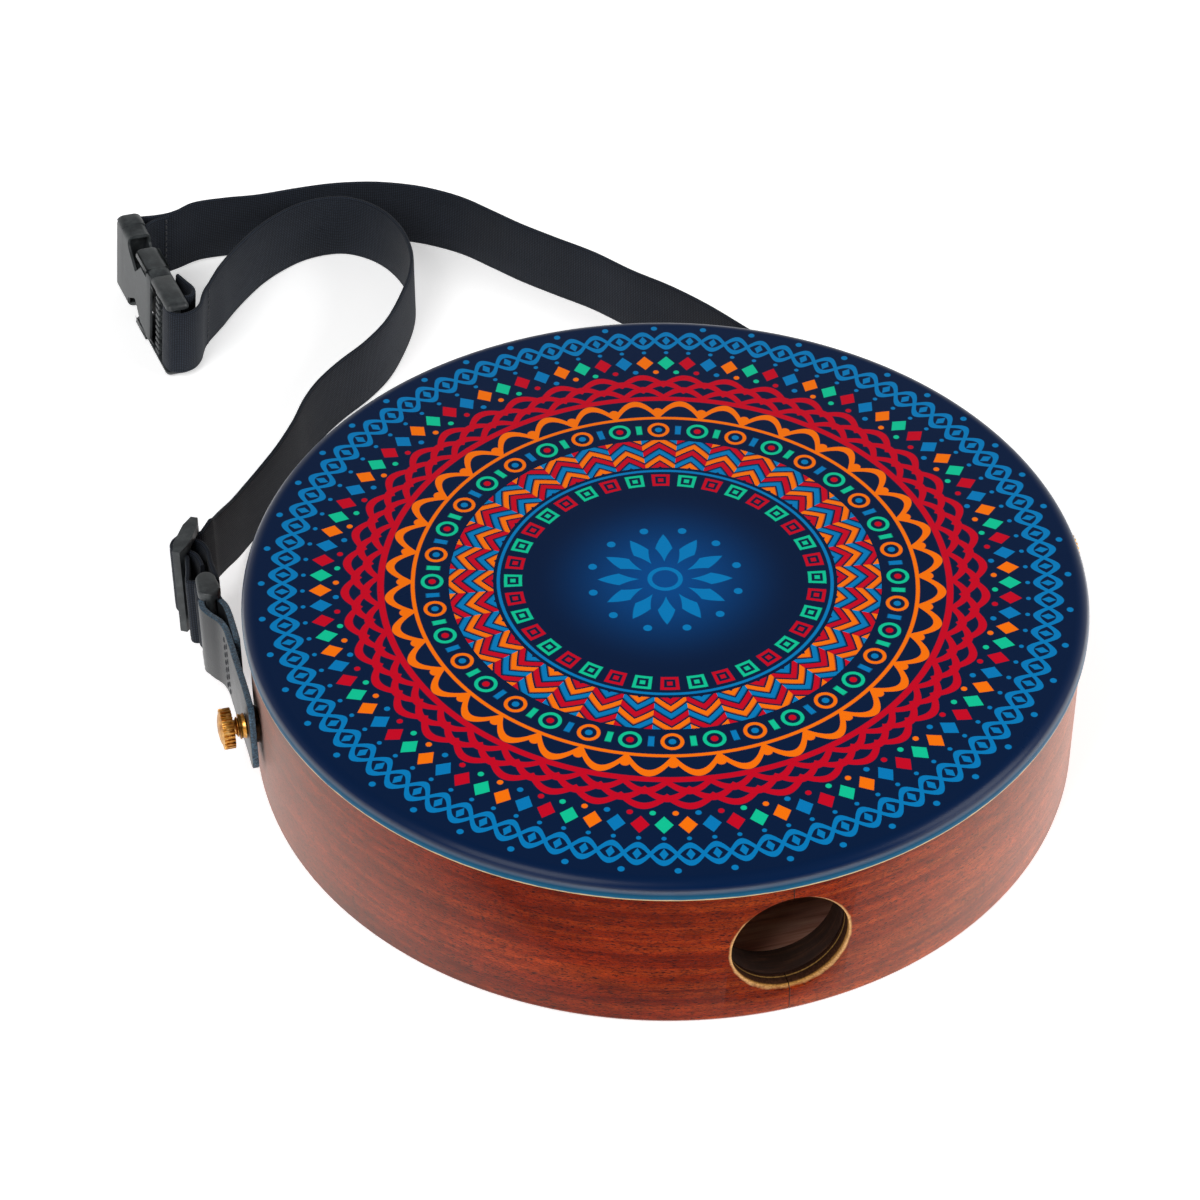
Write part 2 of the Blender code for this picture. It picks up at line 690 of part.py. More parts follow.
# Round the buckle's bars, in (along, across), in mm
plug_loop_route = [(42.5, 15.2), (45.9, 12.4), (49.0, 10.6), (52.8, 8.5), (55.8, 5.2), (56.8, 0.9), (55.2, -2.2),
                   (52.0, -3.1), (49.4, -3.0), (48.0, -1.6), (47.7, 1.0), (47.6, 4.4), (46.9, 7.6),
                   (43.6, 8.9), (39.2, 7.7), (34.6, 6.3)]
socket_loop_route = [(-1.6, 18.6), (-0.6, 14.6), (-0.5, 10.2), (-1.1, 5.4), (-1.8, 1.6), (-1.3, -1.3), (0.6, -1.95),
                     (3.4, -1.95), (5.2, -1.1), (5.8, 0.9), (5.0, 3.6), (3.2, 6.2), (1.8, 9.2), (1.3, 12.0), (0.9, 14.4)]


def floor_stations(route):
    up = Vector((0, 0, 1))
    middle = webbing_width / 2
    return [(Vector((x * route_unit, y * route_unit, z * mm + middle)), up) for x, y, z in route]


def framed_stations(matrix, route):
    up = matrix.to_3x3() @ Vector((0, 0, 1))
    return [(matrix @ Vector((a * mm, b * mm, 0)), up.normalized()) for a, b in route]


def ring_stations(side, route):
    """Places (away from the drum, along the ring) in mm from the middle of a ring's far bar."""
    along = ring_direction(side)
    bar = Vector((*bar_place(side), 0)) + along * ring_bar_spacing
    across = Vector((along.y, -along.x, 0))
    matrix = group_matrix(side)
    up = (matrix.to_3x3() @ Vector((0, 0, 1))).normalized()
    return [(matrix @ (bar + (across * x + along * y) * mm), up) for x, y in route]


def make_front_strap():
    """From the buckle's plug along the floor, through the adjuster and round the left ring."""
    stations = list(reversed(framed_stations(buckle_matrix(), plug_loop_route)))
    stations += floor_stations(front_floor_route)
    stations += framed_stations(adjuster_matrix(), adjuster_in_route)
    turn = ring_bar_radius + fit + webbing_thickness / 2
    stations += ring_stations(-1, arc((0, 0), turn / mm + 0.3, 20, -200, 9))
    stations += framed_stations(adjuster_matrix(), adjuster_out_route)
    bm = ribbon(stations, webbing_width, webbing_thickness, webbing_step)
    add_object("front_strap", bm, own(webbing, "front_strap"))


def make_back_strap():
    """From the buckle's socket round the back of the drum to the right ring."""
    stations = list(reversed(framed_stations(buckle_matrix(), socket_loop_route)))
    stations += floor_stations(back_floor_route)
    turn = ring_bar_radius + fit + webbing_thickness / 2
    stations += ring_stations(1, right_arrival)
    stations += ring_stations(1, arc((0, 0), turn / mm + 0.3, 0, -190, 9))
    stations += ring_stations(1, right_tail)
    bm = ribbon(stations, webbing_width, webbing_thickness, webbing_step)
    add_object("back_strap", bm, own(webbing, "back_strap"))


def make_adjuster():
    """A frame with a slot each side of its centre bar, thickest in its middle."""
    half_length = adjuster_length / 2
    half_height = webbing_width / 2 + fit + adjuster_rail
    half_thick = adjuster_thickness / 2
    slot_end = half_length - adjuster_end_bar
    slot_top = webbing_width / 2 + 2 * fit
    matrix = adjuster_matrix()
    origin = matrix.translation.copy()
    half_edge = adjuster_edge_thickness / 2
    half_bar = adjuster_bar_thickness / 2
    side_line = [(-half_length, half_edge), (-(half_length + slot_end) / 2, half_bar), (-slot_end / 2, half_thick)]
    side_line += [(-x, y) for x, y in reversed(side_line)]
    outline = [(x, -y) for x, y in side_line] + list(reversed(side_line))
    form = moved(prism(outline, -half_height, half_height), matrix)
    item = add_object("adjuster", form, own(plastic, "adjuster"), origin)
    rounded(item, 1.2 * mm, 2)
    slot = block((-slot_end, slot_end), (-adjuster_thickness, adjuster_thickness), (-slot_top, slot_top))
    combine(item, add_object("adjuster_slot", moved(slot, matrix), None, smooth=False))
    bar = lathe([(0, -half_height + 1 * mm), (adjuster_centre_radius, -half_height + 1 * mm),
                 (adjuster_centre_radius, half_height - 1 * mm), (0, half_height - 1 * mm)], 16, False)
    combine(item, add_object("adjuster_centre_bar", moved(bar, matrix), None), "UNION")


# Side release buckle. Places here are (along, across, up) from the back of the socket, in the
# middle of its height.

def outline_prism(outline, low, high):
    """Raise an (along, up) outline across the buckle."""
    bm = prism(outline, low, high)
    return moved(bm, Matrix.Rotation(math.radians(90), 4, "X") @ Matrix.Scale(-1, 4, (0, 0, 1)))


def buckle_object(name, bm, material=None, origin=None, smooth=True):
    place = buckle_matrix() @ (origin if origin is not None else Vector((0, 0, 0)))
    return add_object(name, moved(bm, buckle_matrix()), material, place, smooth)


def window_outline(sign):
    top = buckle_height / 2
    points = [(window_start, top + 2 * mm), (window_start, top - 0.8 * mm)]
    points += [(pad_start - 1.2 * mm, top - window_depth * 0.45), (pad_start + 5.8 * mm, top - window_depth)]
    points += [(window_end, top - window_depth), (window_end, top + 2 * mm)]
    return [(x, sign * z) for x, z in points]


def socket_form(name, inset=0.0, material=None):
    """The socket's rounded outer form, or the same form drawn in by an inset."""
    half_height = buckle_height / 2 - inset
    half_thick = buckle_thickness / 2 - inset
    bm = block((0, socket_length), (-half_thick, half_thick), (-half_height, half_height))
    form = buckle_object(name, bm, material)
    rounded(form, socket_edge, 3)
    return form


def make_socket():
    half_height = buckle_height / 2
    half_thick = buckle_thickness / 2
    socket = socket_form("buckle_socket", material=own(plastic, "buckle_socket"))
    bay_low = -half_thick + socket_wall
    bay_high = half_height - buckle_rail
    bay = block((-2 * mm, strap_bay_length), (bay_low, half_thick * 2), (-bay_high, bay_high))
    combine(socket, buckle_object("socket_strap_bay", bay, smooth=False))
    bar_low = bay_low + 2 * fit + webbing_thickness
    bar_end = strap_bar_start + strap_bar_length
    bar = block((strap_bar_start, bar_end), (bar_low, bar_low + strap_bar_thickness), (-bay_high - 1 * mm, bay_high + 1 * mm))
    combine(socket, buckle_object("socket_strap_bar", bar, smooth=False), "UNION")
    cavity_start = strap_bay_length + socket_web
    cavity_thick = half_thick - socket_wall
    cavity_height = half_height - socket_wall
    cavity = block((cavity_start, socket_length * 1.2), (-cavity_thick, cavity_thick), (-cavity_height, cavity_height))
    combine(socket, buckle_object("socket_cavity", cavity, smooth=False))
    for label, sign in (("upper", 1), ("lower", -1)):
        window = outline_prism(window_outline(sign), -buckle_thickness, buckle_thickness)
        combine(socket, buckle_object(f"socket_{label}_window", window, smooth=False))


def grip_outline(start, end):
    """The grip bar's section along its length: a flat back and a toothed face."""
    height = webbing_width / 2 + fit
    back = 0.9 * mm
    face = -2.4 * mm
    points = [(-height - 1 * mm, back), (-height - 1 * mm, face)]
    pitch = 2 * height / grip_tooth_count
    for i in range(grip_tooth_count):
        low = -height + i * pitch
        points += [(low + pitch * 0.1, face), (low + pitch * 0.3, face - grip_tooth_depth)]
        points += [(low + pitch * 0.7, face - grip_tooth_depth), (low + pitch * 0.9, face)]
    points += [(height + 1 * mm, face), (height + 1 * mm, back)]
    bm = prism(points, start, end)
    swap = Matrix(((0, 0, 1, 0), (0, 1, 0, 0), (1, 0, 0, 0), (0, 0, 0, 1)))
    return moved(bm, swap)


def make_plug():
    start = socket_length + fit
    end = start + plug_length
    half_height = buckle_height / 2
    half_thick = plug_thickness / 2
    inner = webbing_width / 2 + fit
    bm = block((start, end), (-half_thick, half_thick), (-half_height, half_height))
    plug = buckle_object("buckle_plug", bm, own(plastic, "buckle_plug"), Vector((start, 0, 0)))
    rounded(plug, 1.6 * mm, 3)
    opening = block((start + plug_wall, end + 5 * mm), (-2 * half_thick, 2 * half_thick), (-inner, inner))
    combine(plug, buckle_object("plug_opening", opening, smooth=False))
    for label, sign in (("front", -1), ("back", 1)):
        faces = sorted((sign * plug_shoulder / 2, sign * 2 * half_thick))
        recess = block((start - 1 * mm, start + 2 * plug_wall), faces, (-inner, inner))
        combine(plug, buckle_object(f"plug_{label}_recess", recess, smooth=False))
    grip_start = start + grip_bar_start
    grip = grip_outline(grip_start, grip_start + grip_bar_length)
    combine(plug, buckle_object("plug_grip_bar", grip, smooth=False), "UNION")
    bar = lathe([(0, -inner - 1 * mm), (end_bar_radius, -inner - 1 * mm),
                 (end_bar_radius, inner + 1 * mm), (0, inner + 1 * mm)], 20, False)
    moved(bar, Matrix.Translation((end - end_bar_inset, 0, 0)))
    combine(plug, buckle_object("plug_end_bar", bar), "UNION")
    tongue = block((start - tongue_length, start + 1 * mm), (-tongue_thickness / 2, tongue_thickness / 2),
                   (-tongue_height / 2, tongue_height / 2))
    item = buckle_object("plug_tongue", tongue, smooth=False)
    combine(plug, item, "UNION")


def make_prong(label, sign):
    """A springy arm; its pad fills the window and its catch face bears on the window's end."""
    top = buckle_height / 2
    root = socket_length
    arm_top = prong_root_height
    arm_low = arm_top - prong_thickness
    pad_end = window_end - 0.6 * mm
    foot = top - window_depth + 2 * fit
    nose = pad_start - 6.5 * mm
    points = [(root, arm_low), (root, arm_top), (pad_end + 1.2 * mm, arm_top), (pad_end, foot)]
    points += [(pad_end, top - 0.5 * mm), (pad_end - 0.8 * mm, top - 0.2 * mm)]
    points += [(pad_start + 1.8 * mm, top - 0.6 * mm), (pad_start + 0.6 * mm, top - 1.4 * mm)]
    points += [(pad_start, top - 2.9 * mm), (nose + 1.0 * mm, arm_top + 0.6 * mm)]
    points += [(nose, arm_top - 0.9 * mm), (nose + 0.7 * mm, arm_low - 0.5 * mm)]
    points += [(nose + 4.0 * mm, arm_low - 1.0 * mm), (pad_start + 4.0 * mm, arm_low - 0.4 * mm)]
    half = buckle_thickness / 2 - socket_wall - fit
    bm = outline_prism([(x, sign * z) for x, z in points], -half, half)
    origin = Vector((root, 0, sign * (arm_low + arm_top) / 2))
    prong = buckle_object(f"{label}_prong", bm, own(plastic, f"{label}_prong"), origin)
    pad_points = [(pad_end - 0.1 * mm, foot), (pad_end - 0.1 * mm, top), (pad_start + 2.4 * mm, top)]
    pad_points += [(pad_start + 1.2 * mm, top - 0.7 * mm), (pad_start + 0.8 * mm, top - 2.0 * mm)]
    pad_points += [(pad_start + 2.2 * mm, top - 3.4 * mm), (pad_start + 5.7 * mm, foot)]
    pad = outline_prism([(x, sign * z) for x, z in pad_points], -buckle_thickness, buckle_thickness)
    pad = buckle_object(f"{label}_prong_pad", pad)
    combine(pad, socket_form(f"{label}_pad_form", pad_inset), "INTERSECT")
    combine(prong, pad, "UNION")


def build():
    clear_scene()
    make_shell()
    make_head()
    make_back()
    make_linings()
    make_hole_block()
    make_snare()
    for side, label in ((-1, "left"), (1, "right")):
        make_anchor(side, label)
        make_tab(side, label)
        make_ring(side, label)
    make_adjuster()
    make_front_strap()
    make_back_strap()
    make_socket()
    make_plug()
    make_prong("upper", 1)
    make_prong("lower", -1)


build()
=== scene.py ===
# %% [markdown]
# # A laptop cajon, dressed for its photograph
#
# A laptop cajon is a shallow box drum. A thin wooden head is glued on a bent hoop, a round
# hole in the hoop lets the air out, and a webbing strap hangs it from the shoulder. The solids
# come from the CAD part. This lesson gives each of them its real surface, and models again the
# pieces whose small forms a camera would see.

# %% Load the frame
import math

import bmesh
import bpy
from mathutils import Matrix, Vector


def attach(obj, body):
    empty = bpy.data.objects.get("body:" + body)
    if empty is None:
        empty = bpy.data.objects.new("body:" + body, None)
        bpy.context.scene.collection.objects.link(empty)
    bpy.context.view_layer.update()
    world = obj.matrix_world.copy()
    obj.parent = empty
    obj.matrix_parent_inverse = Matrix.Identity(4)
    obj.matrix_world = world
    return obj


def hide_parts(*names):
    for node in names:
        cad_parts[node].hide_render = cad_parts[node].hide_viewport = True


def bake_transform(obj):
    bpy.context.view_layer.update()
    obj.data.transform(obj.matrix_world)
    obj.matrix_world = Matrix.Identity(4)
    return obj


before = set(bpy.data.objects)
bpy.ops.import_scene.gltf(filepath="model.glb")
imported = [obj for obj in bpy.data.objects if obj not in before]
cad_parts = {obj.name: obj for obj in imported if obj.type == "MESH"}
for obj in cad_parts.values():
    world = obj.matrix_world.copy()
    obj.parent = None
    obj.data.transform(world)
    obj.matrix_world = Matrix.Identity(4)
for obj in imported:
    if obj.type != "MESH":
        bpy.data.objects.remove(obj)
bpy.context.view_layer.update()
mm = 0.001

# %% [markdown]
# ## The camera
#
# The photograph was taken from above and in front with a long lens, so the head is an ellipse
# with hardly any perspective. The camera is put at that place and aimed by its forward
# direction, which needs no target object.

# %% Place the camera
lens, sensor = 116.09, 36.0
camera_place = Vector((-0.2566, -0.8242, 0.8321))
camera_forward = Vector((0.2041, 0.7119, -0.6719))
camera = bpy.data.objects.new("camera", bpy.data.cameras.new("camera"))
camera.location = camera_place
camera.rotation_euler = camera_forward.to_track_quat("-Z", "Y").to_euler()
camera.data.lens = lens
camera.data.sensor_width = sensor
camera.data.clip_start = 0.01
bpy.context.scene.collection.objects.link(camera)
bpy.context.scene.camera = camera
print("the camera has a", lens, "mm lens on a", sensor, "mm sensor")

# %% [markdown]
# ## Colours and nodes
#
# Colours are easier to read as hex values, as a paint program shows them, but a shader works in
# linear light. One function turns the first into the second, and another adds a node with its
# settings and links, so that each material below reads as a short recipe. Where a node stands
# for the value that it makes, its first output is meant.

# %% Helpers for materials
# A Mix node blends colours, in its inputs 6 and 7, only when its type is set to colour.
blend_colours = {"data_type": "RGBA"}
multiply_colours = {"data_type": "RGBA", "blend_type": "MULTIPLY"}


def linear(hex_colour):
    """An sRGB hex colour as linear RGBA."""
    channels = [int(hex_colour[i:i + 2], 16) / 255 for i in (1, 3, 5)]
    return tuple(c / 12.92 if c <= 0.04045 else ((c + 0.055) / 1.055) ** 2.4 for c in channels) + (1.0,)


def set_inputs(node, *values, **named):
    """Set or link a node's inputs: in order, by name with _ for a space, or a_6 for input 6."""
    inputs = list(enumerate(values))
    for name, value in named.items():
        inputs.append((int(name[2:]) if name.startswith("a_") else name.replace("_", " "), value))
    for key, value in inputs:
        if isinstance(value, bpy.types.Node):
            value = next(s for s in value.outputs if s.enabled)
        if isinstance(value, bpy.types.NodeSocket):
            node.id_data.links.new(value, node.inputs[key])
        else:
            node.inputs[key].default_value = value


def add(tree, kind, *values, **named):
    """Add a node: lower case names are its own settings, and the rest are its inputs."""
    kind, _, operation = kind.partition(" ")
    node = tree.nodes.new("ShaderNode" + kind)
    if operation:
        node.operation = operation
    settings = {name: value for name, value in named.items() if hasattr(node, name)}
    for name, value in settings.items():
        setattr(node, name, value)
    set_inputs(node, *values, **{n: v for n, v in named.items() if n not in settings})
    return node


def new_material(name, **surface):
    """A material with one Principled shader, whose constant values are set on its own sockets."""
    material = bpy.data.materials.new(name)
    material.use_nodes = True
    tree = material.node_tree
    shader = tree.nodes["Principled BSDF"]
    set_inputs(shader, **surface)
    print("material:", name)
    return material, tree, shader


def colour_stops(node, *stops):
    """Set a colour ramp's stops from (position, hex colour) pairs."""
    ramp = node.color_ramp
    while len(ramp.elements) < len(stops):
        ramp.elements.new(0.5)
    for element, (position, hex_colour) in zip(ramp.elements, stops):
        element.position = position
        element.color = linear(hex_colour)
    return node


# %% [markdown]
# ## Moulded plastic
#
# The buckle, the adjuster and the rings are moulded in acetal. Their moulds are spark eroded,
# which leaves a fine, even grain that breaks up the highlight. Where hands rub, the grain is
# polished a little, so the roughness wanders from place to place.

# %% Moulded black plastic
moulded_plastic, tree, shader = new_material("spark textured acetal", IOR=1.48)
place = add(tree, "TexCoord").outputs["Object"]
# The grain is about 0.5 mm, coarser than a real mould's 0.1 mm, so that it shows in the picture.
grain = add(tree, "TexNoise", place, Scale=2000.0, Detail=3.0)
rubbed = add(tree, "TexNoise", place, Scale=260.0, Detail=5.0, Roughness=0.65)
colour = colour_stops(add(tree, "ValToRGB", rubbed), (0.32, "#202325"), (0.5, "#2E3234"),
                      (0.7, "#434748"))
rough = add(tree, "MapRange", rubbed, To_Min=0.36, To_Max=0.52)
bump = add(tree, "Bump", Height=grain, Strength=0.22, Distance=0.0002)
set_inputs(shader, Base_Color=colour, Roughness=rough, Normal=bump)

# %% [markdown]
# ## Metals
#
# The thumb screws are brass, turned on a lathe and left bare. Air darkens the metal between the
# places that fingers polish, so a slow noise mixes a brown tarnish into the yellow.

# %% Turned brass
turned_brass, tree, shader = new_material("turned brass", Metallic=1.0)
place = add(tree, "TexCoord").outputs["Object"]
tarnish = add(tree, "TexNoise", place, Scale=420.0, Detail=5.0, Roughness=0.6)
colour = colour_stops(add(tree, "ValToRGB", tarnish), (0.34, "#8A541D"), (0.5, "#BE8439"),
                      (0.68, "#E6B870"))
rough = add(tree, "MapRange", tarnish, To_Min=0.26, To_Max=0.46)
set_inputs(shader, Base_Color=colour, Roughness=rough)

# %% [markdown]
# The threaded inserts sit deep in the hoop, behind the leather. They are painted near black, as
# the shade behind the leather, so hardly any of them shows.

# %% Brass darkened as painted shade
brass_in_painted_shade, tree, shader = new_material("brass darkened as painted shade", Metallic=1.0, Roughness=0.55)
place = add(tree, "TexCoord").outputs["Object"]
dark_mottle = add(tree, "TexNoise", place, Scale=500.0, Detail=4.0)
# Painted shade: the insert's brass is coloured as dark as the shade behind the leather.
colour = colour_stops(add(tree, "ValToRGB", dark_mottle), (0.35, "#17110D"), (0.75, "#4A3726"))
set_inputs(shader, Base_Color=colour)

# %% [markdown]
# Snare wires are drawn spring steel, a cool grey with streaks. The screws that hold them are
# the same steel, so they share the finish.

# %% Drawn steel
drawn_steel, tree, shader = new_material("drawn spring steel", Metallic=1.0, Roughness=0.28)
place = add(tree, "TexCoord").outputs["Object"]
drawn = add(tree, "Mapping", place, Scale=(900.0, 60.0, 900.0))
streaks = add(tree, "TexNoise", drawn, Scale=1.0, Detail=2.0)
colour = colour_stops(add(tree, "ValToRGB", streaks), (0.3, "#8C9093"), (0.7, "#C9CBCC"))
set_inputs(shader, Base_Color=colour)

# %% [markdown]
# ## Wood
#
# Mahogany veneer has short dark pores, a few millimetres long and a quarter wide, that run with
# the grain. On a bent hoop the grain runs round it, so the pattern needs a coordinate that runs
# round too: the angle about the middle, times the radius. It is counted from the back, so its
# two ends meet where the hoop's own ends meet, at the front.

# %% A coordinate that runs round the hoop
shell_radius = 125.5 * mm


def round_coordinate(tree):
    """(way round, way out, height) in metres, with the join at -Y."""
    place = add(tree, "TexCoord").outputs["Object"]
    parts = add(tree, "SeparateXYZ", place)
    turn = add(tree, "Math ARCTAN2", parts.outputs["X"], parts.outputs["Y"])
    way = add(tree, "Math MULTIPLY", turn, shell_radius)
    flat = add(tree, "CombineXYZ", parts.outputs["X"], parts.outputs["Y"])
    out = add(tree, "VectorMath LENGTH", flat)
    return add(tree, "CombineXYZ", way, out, parts.outputs["Z"])


# %% [markdown]
# The veneer's colour is built in three layers, from large to small: slow clouds where the stain
# took unevenly, long bands of earlier and later wood, and the pores, which are dents that the
# stain filled. The pores also lower the surface, through the bump. The stain is on the outer
# face alone, so the hoop's inside and the sanded edge of its sound hole are bare wood. Deeper into
# the wall that bare wood is painted darker as painted shade, with a painted glint line in the bore.

# %% Stained mahogany veneer
hole_height = 27.5 * mm
hole_edge_radius = 18.4 * mm
veneer, tree, shader = new_material("stained mahogany veneer", IOR=1.5, Specular_IOR_Level=0.03)
way = round_coordinate(tree)
long_grain = add(tree, "Mapping", way, Scale=(14.0, 60.0, 420.0))
pore_grain = add(tree, "Mapping", way, Scale=(640.0, 640.0, 4200.0))
fine_grain = add(tree, "Mapping", way, Scale=(1100.0, 1100.0, 3400.0))
cloud_grain = add(tree, "Mapping", way, Scale=(14.0, 14.0, 42.0))
figure_grain = add(tree, "Mapping", way, Scale=(170.0, 170.0, 420.0))
bands = add(tree, "TexNoise", long_grain, Scale=1.0, Detail=6.0, Roughness=0.62)
pores = add(tree, "TexNoise", pore_grain, Scale=1.0, Detail=2.0, Roughness=0.5)
flecks = add(tree, "TexNoise", fine_grain, Scale=1.0, Detail=3.0, Roughness=0.6)
clouds = add(tree, "TexNoise", cloud_grain, Scale=1.0, Detail=3.0)
figure = add(tree, "TexNoise", figure_grain, Scale=1.0, Detail=4.0, Roughness=0.6)
base = colour_stops(add(tree, "ValToRGB", bands), (0.3, "#7A2209"), (0.5, "#A03A12"), (0.7, "#C2581E"))
shade = add(tree, "MapRange", clouds, 0.32, 0.68, 0.62, 1.12)
tint = add(tree, "Mix", 1.0, a_6=base, a_7=shade, **multiply_colours)
curl = add(tree, "MapRange", figure, 0.35, 0.65, 0.72, 1.2)
figured = add(tree, "Mix", 1.0, a_6=tint, a_7=curl, **multiply_colours)
# The veneer is darker and browner towards -X, from X = 8 cm down to X = -5 cm.
place = add(tree, "TexCoord").outputs["Object"]
place_parts = add(tree, "SeparateXYZ", place)
across_x_share = add(tree, "MapRange", place_parts.outputs["X"], -0.05, 0.08,
                interpolation_type="SMOOTHSTEP")
darker_towards_minus_x = colour_stops(add(tree, "ValToRGB", across_x_share), (0.0, "#C4A298"), (1.0, "#FFFFFF"))
toned = add(tree, "Mix", 1.0, a_6=figured, a_7=darker_towards_minus_x, **multiply_colours)
fleck = add(tree, "MapRange", flecks, 0.47, 0.63, 0.0, 0.58)
speckled = add(tree, "Mix", fleck, a_6=toned, a_7=linear("#3A0D07"), **blend_colours)
dash = add(tree, "MapRange", pores, 0.56, 0.63, 0.0, 0.9)
stained = add(tree, "Mix", dash, a_6=speckled, a_7=linear("#200809"), **blend_colours)
# Seen along the surface, the satin lacquer reflects the bright room. That reflection is painted into
# the colour as a pale veil, which grows where the surface turns away from the eye.
facing = add(tree, "LayerWeight", Blend=0.5)
painted_sheen_share = add(tree, "MapRange", facing.outputs["Facing"], 0.38, 0.92, 0.0, 0.35)
with_painted_sheen = add(tree, "Mix", painted_sheen_share, a_6=stained, a_7=linear("#DEC6BA"), **blend_colours)
from_hole = add(tree, "Mapping", place, Location=(0.0, 0.0, -hole_height), Scale=(1.0, 0.0, 1.0))
hole_distance = add(tree, "VectorMath LENGTH", from_hole)
wander = add(tree, "TexNoise", place, Scale=320.0, Detail=4.0)
sanded = add(tree, "Math MULTIPLY_ADD", wander, 0.001, hole_distance)
in_hole = add(tree, "MapRange", sanded, hole_edge_radius + 0.0005, hole_edge_radius - 0.0001)
way_parts = add(tree, "SeparateXYZ", way)
inside = add(tree, "Math LESS_THAN", way_parts.outputs["Y"], shell_radius - 0.0015)
front = add(tree, "Math LESS_THAN", place_parts.outputs["Y"], 0.0)
front_hole = add(tree, "Math MULTIPLY", in_hole, front)
bare = add(tree, "Math MAXIMUM", front_hole, inside)
raw_depth = add(tree, "MapRange", way_parts.outputs["Y"], shell_radius - 0.006, shell_radius - 0.0002)
# Painted shade: the bare wood darkens deeper into the wall, with a thin painted glint line round the
# bore. The light outer stops are the sanded chamfer.
bore_colour_with_painted_shade = colour_stops(add(tree, "ValToRGB", raw_depth), (0.0, "#22120D"), (0.25, "#2E1B12"),
                          (0.3, "#94703C"), (0.36, "#2A1810"), (0.74, "#3C2417"), (0.84, "#9E7038"),
                          (1.0, "#C99A66"))
raw_shade = add(tree, "MapRange", flecks, 0.35, 0.65, 0.6, 1.25)
raw = add(tree, "Mix", 1.0, a_6=bore_colour_with_painted_shade, a_7=raw_shade, **multiply_colours)
both = add(tree, "Mix", bare, a_6=with_painted_sheen, a_7=raw, **blend_colours)
rough = add(tree, "MapRange", bare, To_Min=0.42, To_Max=0.75)
bump = add(tree, "Bump", Height=dash, Strength=0.3, Distance=0.0002, invert=True)
set_inputs(shader, Base_Color=both, Roughness=rough, Normal=bump)

# %% [markdown]
# Inside, the wood is bare: sanded, unstained, with a long flat grain that runs across the drum.

# %% Bare wood
bare_wood, tree, shader = new_material("sanded bare ply", Roughness=0.65, IOR=1.5)
place = add(tree, "TexCoord").outputs["Object"]
grain_place = add(tree, "Mapping", place, Scale=(22.0, 520.0, 420.0))
grain = add(tree, "TexNoise", grain_place, Scale=1.0, Detail=6.0, Roughness=0.65)
colour = colour_stops(add(tree, "ValToRGB", grain), (0.3, "#9A5C4C"), (0.5, "#C88A74"),
                      (0.72, "#E8B49C"))
bump = add(tree, "Bump", Height=grain, Strength=0.3, Distance=0.0003)
set_inputs(shader, Base_Color=colour, Normal=bump)

# %% [markdown]
# The bore of the sound hole goes through a backing block. Its end grain runs round the bore as
# fine rings. It is painted much darker and browner than the sheets, as painted shade inside the hole.

# %% End grain in painted shade
end_grain_in_painted_shade, tree, shader = new_material("end grain in painted shade", Roughness=0.5, IOR=1.5)
place = add(tree, "TexCoord").outputs["Object"]
grain_place = add(tree, "Mapping", place, Scale=(90.0, 1400.0, 90.0))
grain = add(tree, "TexNoise", grain_place, Scale=1.0, Detail=5.0, Roughness=0.6)
# Painted shade: these near black browns stand for the shade inside the sound hole.
colour = colour_stops(add(tree, "ValToRGB", grain), (0.3, "#180D09"), (0.55, "#2C1911"),
                      (0.72, "#4A2E1E"))
bump = add(tree, "Bump", Height=grain, Strength=0.3, Distance=0.0003)
set_inputs(shader, Base_Color=colour, Normal=bump)

# %% [markdown]
# ## Leather and thread
#
# The tabs are chrome tanned leather, dyed black and waxed. Its grain side is smooth with a fine
# pebble, and greyer where it bends. The cut edge shows the blue green of the tanned core as a
# fuzzy suede, so it gets a material of its own, rough and with a sheen of loose fibres.

# %% Waxed leather
waxed_leather, tree, shader = new_material("waxed grain leather", IOR=1.5, Coat_Weight=0.15,
                                           Coat_Roughness=0.35)
place = add(tree, "TexCoord").outputs["Object"]
pebble = add(tree, "TexVoronoi", place, Scale=1200.0, feature="DISTANCE_TO_EDGE")
wax = add(tree, "TexNoise", place, Scale=130.0, Detail=6.0, Roughness=0.6)
colour = colour_stops(add(tree, "ValToRGB", wax), (0.3, "#181A1D"), (0.55, "#232528"),
                      (0.75, "#393938"))
rough = add(tree, "MapRange", wax, To_Min=0.3, To_Max=0.5)
bump = add(tree, "Bump", Height=pebble, Strength=0.3, Distance=0.0003)
set_inputs(shader, Base_Color=colour, Roughness=rough, Normal=bump)

# %% [markdown]
# The suede is a fine noise between the tanned core and a painted shade between its fibres. A strong
# bump and the sheen make it look soft.

# %% Suede cut edge
suede_edge, tree, shader = new_material("cut suede edge", Roughness=0.95, IOR=1.5, Sheen_Weight=0.3,
                                        Sheen_Roughness=0.5)
place = add(tree, "TexCoord").outputs["Object"]
fibres = add(tree, "TexNoise", place, Scale=1500.0, Detail=4.0, Roughness=0.7)
# The darkest stop is painted shade between the fibres.
colour = colour_stops(add(tree, "ValToRGB", fibres), (0.35, "#16222E"), (0.5, "#284356"),
                      (0.68, "#4F7288"))
bump = add(tree, "Bump", Height=fibres, Strength=0.8, Distance=0.0005)
set_inputs(shader, Base_Color=colour, Normal=bump)

# %% [markdown]
# Thread is bonded polyester, three plies twisted. At this size the twist is a wave of bands a
# fifth of a millimetre apart, drawn twice as coarse so that it shows.

